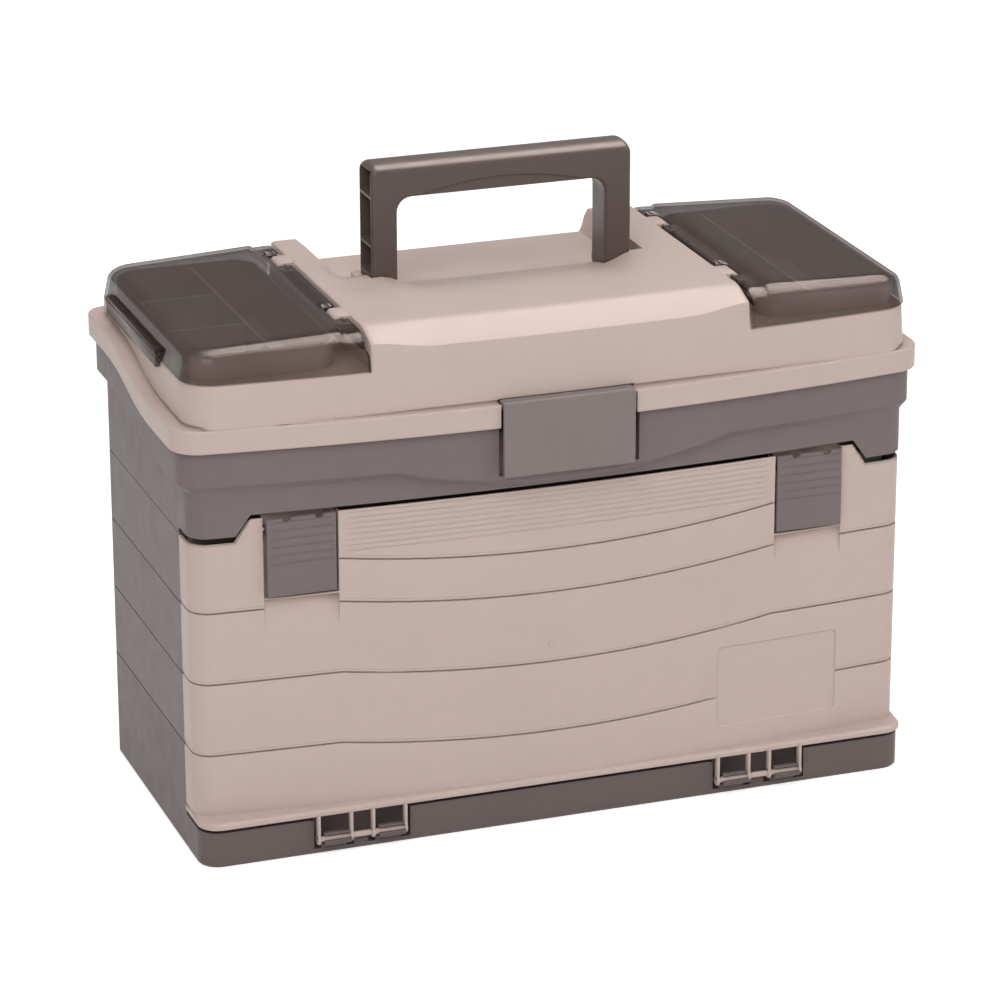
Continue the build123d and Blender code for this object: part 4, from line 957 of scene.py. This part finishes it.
def buildDoorLatch(name, side):
    # one sheet down the front with a row for each edge of each groove, then its thickness
    look = doorLatchLook
    low, top, front = look["low"], look["top"], look["front"]
    half = look["width"] / 2
    xs = mirrored([0, 8, half - look["grooveInset"] - 0.3, half - look["grooveInset"] + 0.3, half - 0.9,
                   half - 0.25, half])
    rows = [(low, 0.9), (low + 0.3, 0.3), (low + 1.2, 0.0), (low + 8, 0.0)]
    for index in reversed(range(look["grooveCount"])):
        z = look["grooveTop"] - index * look["groovePitch"]
        rows += [(z - 1.1, 0.0), (z - 0.5, 0.55), (z, 0.8), (z + 0.5, 0.55), (z + 1.1, 0.0), (z + 2.2, -0.12)]
    rows = [row for row in rows if row[0] < top - 0.7]
    rows += [(top - 0.6, 0.0), (top - 0.15, 0.35), (top, 0.9)]
    middle = side * look["x"]

    def place(column, row):
        x = xs[column]
        z, inset = rows[row]
        if abs(x) > half - look["grooveInset"] and 2 < row < len(rows) - 3:
            inset = 0.0
        inset = max(inset, {half: 0.9, half - 0.25: 0.3}.get(abs(x), inset))
        return middle + x, front + inset, z
    bm = bmesh.new()
    addSheet(bm, len(xs) - 1, len(rows) - 1, place)
    outer = [e for e in bm.edges if e.is_boundary]
    rim = bmesh.ops.extrude_edge_only(bm, edges=outer)["geom"]
    for vert in [g for g in rim if isinstance(g, bmesh.types.BMVert)]:
        vert.co.y = front + look["plate"]
    closeEnds(bm)
    cutter = bmesh.new()
    for offset in look["notches"]:
        addRod(cutter, (middle + offset, front - 3, top),
               (middle + offset, front + 8, top), look["notchRadius"], 24)
    carve(bm, cutter)
    axisY = front + look["axisIn"]
    for start, width in ((-half, 2.6), (-1.5, 3.0), (half - 2.6, 2.6)):
        x0, x1 = middle + start, middle + start + width
        addRodX(bm, x0, x1, axisY, look["axisZ"], look["cheekRadius"], rounding=0.3)
        addBlock(bm, (x0, front + 1.5, look["axisZ"] - 3.1), (x1, axisY, look["axisZ"] + 3.1), 0.3)
    addBlock(bm, (middle - half, front + 1.2, low),
             (middle + half, front + look["plate"] + 1.6, low + 2.4), 0.6)
    addRod(bm, (middle - 1.0, front - 0.3, look["dimple"]),
           (middle - 1.0, front + 1.0, look["dimple"]), 1.5, rounding=0.3)
    body = f"door_latch_{name}"
    finishPiece(f"doorLatch_{name}", bm, "greyPlastic", body, [body])


buildDoorLatch("left", -1)
buildDoorLatch("right", 1)


# lid latch: a wide plate that folds over the rim

lidLatchLook = {
    "half": 44.8, "shift": -0.6, "low": 249.6, "top": 300.2, "front": -123.4, "plate": 3.0,
    "flangeRear": -109.2, "flangeThick": 2.5, "cheekWidth": 3.0, "hook": (255.6, 258.6, -114.4),
    "dot": (-1.0, -116.2),
    "axisY": -117.6, "axisZ": 296.2, "cheekRadius": 2.9, "rounding": 1.8,
}


def buildLidLatch():
    look = lidLatchLook
    front, low, top, plate = look["front"], look["low"], look["top"], look["plate"]
    half = look["half"]
    r = look["rounding"]
    outside = [(front + 0.6, low), (front + 0.1, low + 0.6),
               (front, low + 1.4), (front, low + 25)]
    for step in range(7):
        angle = math.pi - math.pi / 2 * step / 6
        outside.append((front + r + r * math.cos(angle), top - r + r * math.sin(angle)))
    outside += [(look["flangeRear"] - 1.2, top), (look["flangeRear"] - 0.3, top - 0.3),
                (look["flangeRear"], top - 1.0)]
    inside = [(look["flangeRear"], top - look["flangeThick"]),
              (front + plate + 1.5, top - look["flangeThick"]),
              (front + plate, top - look["flangeThick"] - 1.5),
              (front + plate, low + 0.5),
              (front + plate - 0.6, low)]
    loop = outside + inside
    xs = mirrored([0, 30, half - 0.8, half - 0.2, half])
    count = len(loop)
    middleY = front + plate / 2

    def place(column, row):
        y, z = loop[row % count]
        edge = {half: 0.7, half - 0.2: 0.2}.get(abs(xs[column]), 0.0)
        if row % count < len(outside):
            if z > top - 2.2 and y > front + 0.4:
                z -= edge
            elif z < top - 2.2:
                y += edge
            else:
                y, z = y + edge * 0.7, z - edge * 0.7
        return xs[column] + look["shift"], y, z
    bm = bmesh.new()
    addSheet(bm, len(xs) - 1, count, place)
    bmesh.ops.remove_doubles(bm, verts=bm.verts, dist=0.001)
    closeEnds(bm)
    width = look["cheekWidth"]
    for start in (-half, -width / 2, half - width):
        addRodX(bm, start, start + width, look["axisY"], look["axisZ"], look["cheekRadius"], rounding=0.3)
        addBlock(bm, (start, middleY, look["axisZ"] - look["cheekRadius"]),
                 (start + width, look["axisY"], top - 1.0), 0.3)
    hookLow, hookHigh, hookRear = look["hook"]
    addBlock(bm, (-half + 6, middleY, hookLow), (half - 6, hookRear, hookHigh), 0.6)
    addRod(bm, (*look["dot"], top - 0.2), (*look["dot"], top + 0.25), 1.2, rounding=0.15)
    finishPiece("lidLatchPlate", bm, "latchPlastic", "lid_latch", ["lid_latch"])


buildLidLatch()
print("latches built")


# front door: a bowed skin with seam lines, ribs, latch pockets, a flared foot and hinge arms

doorLook = {
    "half": 247.0, "front": -108.0, "bow": 12.0, "returnY": -69.5, "corner": 14.0,
    "flangeFront": -110.8, "flare": 0.5, "footZ": 27.3, "flangeTop": 30.6, "flangeLift": 0.8,
    "ledgeRise": 1.0, "wall": 1.8,
    "edgeTop": 219.0, "midTop": 234.4, "midHalf": 208.0, "slopeHalf": 218.0,
    "lines": (74.1, 123.4, 172.3), "sag": 10.8, "kink": 150.0, "topLine": 201.8, "lineDepth": 2.1,
    "ribTop": 231.8, "ribPitch": 3.7, "ribCount": 8, "ribHalf": 148.0, "ribDepth": 0.7,
    "label": (111.0, 199.0, 47.5, 104.5), "labelRadius": 3.2, "labelDepth": 0.7,
    "pocketX": (151.0, 200.0), "pocketLow": 179.5, "pocketBack": -93.94, "barLow": 178.4,
    "scoopLow": 158.5, "scoopBack": -96.4,
    "axisY": -109.8, "axisZ": 10.9, "armRadius": 3.6, "armWidth": 2.1, "barRadius": 2.0,
    "arms": (-29.8, -7.6, 7.4, 29.6), "groups": (-140.0, 140.0), "pip": (-8.0, 124.9),
    "stiffeners": (-82.0, 0.0, 82.0), "stiffener": (1.2, 1.4, 7.0, 60.0, 215.0),
    "crossRib": (118.0, 120.4, -93.5),
}
labelStops = {111, 111.4, 112.2, 114.4, 118, 192, 195.6, 197.8, 198.6, 199}
doorStops = mirrored([0, 15, 30, 45, 60, 75, 90, 105, 118, 125, 135, 142, 147, 149.4, 150.9, 151.1, 160,
                      175.5, 188, 199.9, 200.1, 204, 208, 209.5, 211.5, 214, 216, 218, 224, 231])
doorStops = sorted(labelStops | set(doorStops))


def doorOutline(front, bow, inset=0.0, flare=0.0):
    # open plan line: left return, corner, front, corner, right return
    look = doorLook
    half, front, radius = look["half"] - inset + flare, front + inset, look["corner"] - inset
    lean = math.atan(2 * bow / half)
    touchX = half - radius + radius * math.sin(lean)
    centreY = bowedY(half, front, bow, touchX) + radius * math.cos(lean)
    right = []
    for step in range(9):
        angle = blend(-math.pi / 2 + lean, 0.0, step / 8)
        right.append((half - radius + radius * math.cos(angle), centreY + radius * math.sin(angle)))
    right += [(half, blend(centreY, look["returnY"], f)) for f in (0.35, 0.7, 1.0)]
    left = [(-x, y) for x, y in reversed(right)]
    return left + [(x, bowedY(half, front, bow, x)) for x in doorStops] + right


def doorTop(x):
    look = doorLook
    return blend(look["midTop"], look["edgeTop"], ramp(look["midHalf"], look["slopeHalf"], abs(x)))


def doorDip(x):
    # how far the seam lines sink below their ends at x
    look = doorLook
    return look["sag"] * max(0.0, 1 - (x / look["kink"]) ** 2)


def doorRows():
    # each row: its height at x, its depth behind the face at x
    look = doorLook
    x0, x1, z0, z1 = look["label"]
    r = look["labelRadius"]

    def inLabel(x):
        return x0 - 0.1 < x < x1 + 0.1

    def cornerRise(x):
        if not inLabel(x):
            return r
        away = max(x0 + r - x, x - (x1 - r), 0.0)
        return r - math.sqrt(max(r * r - away * away, 0.0))

    def labelDepth(x):
        return look["labelDepth"] if x0 + 0.2 < x < x1 - 0.2 else 0.0

    def flat(x):
        return 0.0

    def dipped(z, depth=flat):
        return (lambda x: z - doorDip(x)), depth

    profile = ((-1.1, 0.0), (-0.6, 0.08), (-0.5, 1.0), (0.5, 1.0), (0.6, 0.16), (2.0, 0.2), (2.6, 0.0))

    def lineRows(height, inPlate=False, between=False):
        rows = []
        for offset, share in profile:
            def depth(x, share=share):
                if inPlate and inLabel(x):
                    return labelDepth(x)
                if between and abs(x) > look["kink"] - 0.5:
                    return 0.0
                return share * look["lineDepth"]
            rows.append(dipped(height + offset, depth))
        return rows

    rows = [(lambda x: 43.0, flat), (lambda x: z0 + cornerRise(x), flat),
            (lambda x: z0 + 0.45 + cornerRise(x), labelDepth)]
    rows += lineRows(look["lines"][0], inPlate=True)
    rows += [(lambda x: z1 - 0.45 - cornerRise(x), labelDepth), (lambda x: z1 - cornerRise(x), flat)]
    rows += lineRows(look["lines"][1])
    rows += [dipped(z) for z in (148.0, look["scoopLow"], 161.0, 164.0, 167.0, 169.5)]
    rows += lineRows(look["lines"][2])
    rows += [dipped(z) for z in (176.6, look["barLow"] - 0.2, look["barLow"] + 0.1, look["pocketLow"] - 0.1,
                                 look["pocketLow"] + 0.1, 186.0)]
    rows += lineRows(look["topLine"], between=True)
    quarter = look["ribPitch"] / 4
    for index in reversed(range(look["ribCount"])):
        for step, share in ((-1, 0.0), (0, 1.0), (0.5, 0.9), (1, 0.0)):
            z = look["ribTop"] - index * look["ribPitch"] + step * quarter

            def depth(x, z=z, share=share):
                if abs(x) > look["pocketX"][1]:
                    if abs(z - look["edgeTop"]) < 0.5:
                        return 0.9
                    return 0.45 if z > look["edgeTop"] else 0.0
                fade = easeStep(look["ribHalf"] - 7, look["ribHalf"], abs(x))
                return share * look["ribDepth"] * (1 - fade)
            rows.append((lambda x, z=z: min(z, doorTop(x) - 0.8), depth))
    for drop, inset in ((0.7, 0.0), (0.25, 0.18), (0.0, 0.7)):
        rows.append((lambda x, drop=drop: doorTop(x) - drop, lambda x, inset=inset: inset))
    return rows


def buildDoor():
    look = doorLook
    front, bow, half, arms = look["front"], look["bow"], look["half"], look["arms"]
    axisY = look["axisY"]
    face = [doorOutline(front, bow, inset) for inset in (0.0, 2.0)]
    insets = (2.4, 0.4, 0.0, 1.2)
    flange = [doorOutline(look["flangeFront"], 0.0, inset, look["flare"]) for inset in insets]
    low, top = look["footZ"], look["flangeTop"]
    footRows = [(0, low), (1, low), (2, low + 0.4), (2, top - 1.6), (2, top - 0.9), (3, top - 0.1)]
    ledge = [math.pi / 2 * step / 7 for step in range(1, 8)]
    rows = doorRows()
    pocket = look["pocketX"]

    def place(column, row):
        x, y = face[0][column]
        lift = look["flangeLift"] * (x / half) ** 2       # the flange is taller towards the corners
        if row < len(footRows):
            ring, z = footRows[row]
            return (*flange[ring][column], z + (lift if z > top - 2 else 0))
        row -= len(footRows)
        if row < len(ledge):
            away = 1 - math.cos(ledge[row])
            z = top + lift + look["ledgeRise"] * math.sin(ledge[row])
            return (*blendPair(flange[3][column], (x, y), away), z)
        height, depth = rows[row - len(ledge)]
        z, d = height(x), depth(x) / 2.0
        x, y = blendPair((x, y), face[1][column], d)
        if pocket[0] < abs(x) < pocket[1]:
            if z > look["pocketLow"]:
                y = look["pocketBack"]
            elif z > look["barLow"]:
                y = face[0][column][1] + 0.3
            elif z > look["scoopLow"]:
                f = (z - look["scoopLow"]) / (look["barLow"] - look["scoopLow"])
                y = blend(face[0][column][1], look["scoopBack"], f ** 1.25)
        return x, y, z

    bm = bmesh.new()
    addSheet(bm, len(face[0]) - 1, len(footRows) + len(ledge) + len(rows) - 1, place)
    finishPiece("doorSkin", bm, "tanPlastic", "door", ["front_door"], smoothAngle=34,
                wall=look["wall"])

    bm = bmesh.new()
    for group in look["groups"]:
        for arm in arms:
            x0, x1 = group + arm - look["armWidth"] / 2, group + arm + look["armWidth"] / 2
            addRodX(bm, x0, x1, axisY, look["axisZ"], look["armRadius"], 24, 0.5)
            addBlock(bm, (x0, axisY - look["armRadius"] + 0.6, look["axisZ"]),
                     (x1, axisY + 2.2, look["footZ"] + 1.0), 0.7)
        addRodX(bm, group + arms[0], group + arms[-1], axisY, look["axisZ"],
                look["barRadius"])
    halfWidth, near, far, bottom, high = look["stiffener"]
    for x in look["stiffeners"]:
        y = bowedY(half, front, bow, x)
        addBlock(bm, (x - halfWidth, y + near, bottom), (x + halfWidth, y + far, high), 0.5)
    ribLow, ribHigh, ribBack = look["crossRib"]
    ribStops = mirrored([0, 40, 80, 120, 160, 200, 240])
    rib = bmesh.new()
    ribFront = [bowedY(half, front + near, bow, x) for x in ribStops]
    addSheet(rib, len(ribStops) - 1, 1,
             lambda column, row: (ribStops[column], ribBack if row else ribFront[column], ribLow))
    addThickness(rib, (0, 0, ribHigh - ribLow))
    mergeShape(bm, rib)
    x, z = look["pip"]
    addRod(bm, (x, front + 1.0, z), (x, front - 0.6, z), 2.0, 24, 0.4)
    finishPiece("doorFittings", bm, "tanPlastic", "door", ["front_door"])


buildDoor()
print("door built")


# tray: lower walls with corner lips, a proud band with a waved edge, and the bulk bin inside

trayLook = {
    "lower": (247.0, -109.6, 12.6, 107.8, 14.0, 9.0), "band": (252.2, -116.2, 18.0, 116.4, 17.0, 12.0),
    "foot": 220.0, "lip": 223.5, "raised": 237.3, "midHalf": 208.0, "slopeHalf": 218.0, "frontWallY": -69.5,
    "bandDrop": 24.3, "waveHalf": 117.0, "waveLow": 243.0, "waveTop": 258.2, "topLift": 10.6, "wall": 3.0,
    "stepHeight": 4.6, "floor": 224.0, "shelf": 240.3, "shelfY": -55.5, "shelfStep": 0.3, "lipTop": 2.0,
    "recessLeft": -46.2, "recessRight": 49.5, "recessY": -110.2, "recessLow": 248.6, "recessTop": 281.5,
    "openHalf": 50.5, "recessShift": 4.0, "catch": (39.0, -115.1, 261.0, 264.0),
    "knuckleX": 150.0, "knuckleHalf": 8.0, "knuckleRadius": 3.6, "axisY": 122.5, "axisZ": 299.0,
    "knuckleBlock": (114.9, 121.5, 289.0), "boss": (238.8, 101.6, 5.8, 236.0),
}
trayStops = mirrored([0, 12, 24, 36, 46.0, 46.4, 49.3, 49.7, 50.3, 50.7, 58, 68, 78, 88, 98, 107, 113, 117,
                      121, 130, 145, 160, 175, 190, 200, 208, 209.5, 211.5, 214, 216, 218, 222, 228])
traySideStops = [-75, -70, -69, -60, -55.8, -55.2, -50, -42, -32, -20, -8, 4, 16, 28, 40, 50, 60, 68, 75, 84,
                 92]


def trayFoot(x, y):
    # lower edge of the walls: corner lips, sloped shoulders and the raised middle in front
    look = trayLook
    if y > look["frontWallY"] - 0.1:
        return look["foot"]
    return blend(look["raised"], look["lip"], ramp(look["midHalf"], look["slopeHalf"], abs(x)))


def trayBand(x, y):
    # lower edge of the proud band, with its wave in front
    look = trayLook
    line = rimLine(y) - look["bandDrop"]
    if y < -80 and abs(x) < look["waveHalf"]:
        f = abs(x) / look["waveHalf"]
        arc = blend(look["waveLow"], look["waveTop"], f * f)
        line = blend(arc, look["waveTop"], easeStep(0.88, 1.0, f))
    return line


def buildTray():
    look = trayLook
    floor = look["floor"]

    def rings(name, insets):
        return [planOutline(*look[name], trayStops, traySideStops, inset=inset) for inset in insets]

    lower = rings("lower", (0.0, 0.7, look["wall"]))
    band = rings("band", (0.0, 0.4, 0.9, look["wall"]))
    count = len(lower[0])
    step = look["stepHeight"]

    def levels(index):
        # points of the wall: up its outside, over the top and down its inside to the ground
        plain, plainEdge, plainInside = [ring[index] for ring in lower]
        proud, proudEdge, proudLip, proudInside = [ring[index] for ring in band]
        line = rimLine(proud[1])
        foot, edge, top = trayFoot(*plain), trayBand(*proud), line + look["topLift"]
        if plain[1] < 0 and abs(plain[0]) < look["openHalf"]:
            top = look["recessTop"]
        ground = look["shelf"] if plain[1] < look["shelfY"] else floor
        high = min(top, line + look["lipTop"])
        return [
            (plainEdge, foot), (plain, foot + 0.7), (plain, blend(foot, edge - step, 0.5)),
            (plain, edge - step), (proudLip, edge - 0.5), (proudEdge, edge), (proud, edge + 0.8),
            (proud, min(max(look["recessLow"] - 0.1, edge + 1.0), high)),
            (proud, min(max(look["recessLow"] + 0.1, edge + 1.2), high)),
            (proud, blend(edge, high, 0.6)), (proud, high), (proud, top - 0.5), (proudLip, top),
            (proudInside, top), (proudInside, edge + 3.5), (plainInside, edge - 1.0),
            (plainInside, blend(ground, edge, 0.4)), (plainInside, ground)]

    table = [levels(index) for index in range(count)]

    def place(column, row):
        (x, y), z = table[column % count][row]
        if 7 < row < 13 and y < 0 and look["recessLeft"] < x < look["recessRight"]:
            y = look["recessY"]
        if 12 < row < 16 and y < 0 and abs(x) < look["openHalf"]:
            y += look["recessShift"]
        return x, y, z

    bm = bmesh.new()
    addSheet(bm, count, len(table[0]) - 1, place)
    bmesh.ops.remove_doubles(bm, verts=bm.verts, dist=0.01)
    ends = []
    for level, y in ((look["shelf"], look["shelfY"] - look["shelfStep"]),
                     (floor, look["shelfY"] + look["shelfStep"])):
        row = [v for v in bm.verts if abs(v.co.z - level) < 0.01 and abs(v.co.y - y) < 0.1]
        row.sort(key=lambda v: v.co.x)
        bm.edges.new((row[0], row[-1]))
        ends.append((row[0], row[-1]))
    bm.faces.new((*ends[0], *reversed(ends[1])))
    for level in (look["shelf"], floor):
        fillPlanar(bm, lambda co: abs(co.z - level) < 0.01, (0, 0, 1))
    half, front, bow, rear = look["lower"][:4]

    def under(column, row):
        x = trayStops[column]
        foot, wallY = trayFoot(x, front), look["frontWallY"]
        return ((x, bowedY(half, front + 0.7, bow, x), foot), (x * 1.02, wallY, foot),
                (x * 1.02, wallY, look["foot"]), (x, rear - 2.0, look["foot"]))[row]

    belly = bmesh.new()
    addSheet(belly, len(trayStops) - 1, 3, lambda column, row: under(column, 3 - row))
    bmesh.ops.reverse_faces(belly, faces=belly.faces)
    bmesh.ops.recalc_face_normals(bm, faces=bm.faces)
    mergeShape(bm, belly)
    finishPiece("trayBody", bm, "greyPlastic", "cabinet", ["top_tray"], smoothAngle=36)

    bm = bmesh.new()
    half, front, low, high = look["catch"]
    blockY, blockRear, blockLow = look["knuckleBlock"]
    bossX, bossY, bossRadius, bossTop = look["boss"]
    addBlock(bm, (-half, front, low), (half, look["recessY"] + 0.5, high), 0.6)
    for side in (-1, 1):
        x0 = side * look["knuckleX"] - look["knuckleHalf"]
        x1 = side * look["knuckleX"] + look["knuckleHalf"]
        addRodX(bm, x0, x1, look["axisY"], look["axisZ"], look["knuckleRadius"], rounding=0.4)
        addBlock(bm, (x0, blockY, blockLow), (x1, blockRear, look["axisZ"]), 0.8)
        addRod(bm, (side * bossX, bossY, floor - 0.5), (side * bossX, bossY, bossTop), bossRadius,
               rounding=0.6)
    finishPiece("trayFittings", bm, "greyPlastic", "cabinet", ["top_tray"])


buildTray()
print("tray built")


# base: sills between the hinge arms close the lower half of each hinge window

sillLook = {
    "low": 3.2, "top": 7.4, "front": -107.7, "rear": -103.0, "gap": 1.3, "window": 34.0, "side": 2.2,
    "sideLap": 0.3, "sideTop": 23.6,
}


def buildSills():
    look, hinge = sillLook, doorLook
    bm = bmesh.new()
    reach = hinge["armWidth"] / 2 + look["gap"]
    for group in hinge["groups"]:
        for left, right in zip(hinge["arms"], hinge["arms"][1:]):
            addBlock(bm, (group + left + reach, look["front"], look["low"]),
                     (group + right - reach, look["rear"], look["top"]), 0.5)
        start = group - look["window"]
        addBlock(bm, (start - look["sideLap"], look["front"], look["low"]),
                 (start + look["side"], look["rear"], look["sideTop"]), 0.5)
    finishPiece("baseSills", bm, "basePlastic", "cabinet", [])


buildSills()
print("base sills built")


# the parts that keep their solids get their finish here

finishes = {
    "basePlastic": ["base_frame"],
    "greyPlastic": ["lower_frame", "middle_frame", "upper_frame"],
    "drawerPlastic": [f"drawer_{level}" for level in range(1, 5)],
    "dividerPlastic": [f"drawer_{level}_dividers" for level in range(1, 5)],
    "pinSteel": ["stack_screws", "door_latch_pin_left", "door_latch_pin_right", "lid_hinge_pins",
                 "lid_latch_pin", "smoke_pins_left", "smoke_pins_right", "handle_pins"],
}
# the well dividers take the divider plastic with its painted highlight on their tops
finishes["dividerPlastic"] += ["left_well_dividers", "right_well_divider"]


def finishNodes():
    for finish, names in finishes.items():
        for name in names:
            mesh = nodes[name].data
            mesh.materials.clear()
            mesh.materials.append(materials[finish])


finishNodes()
print("solids finished")
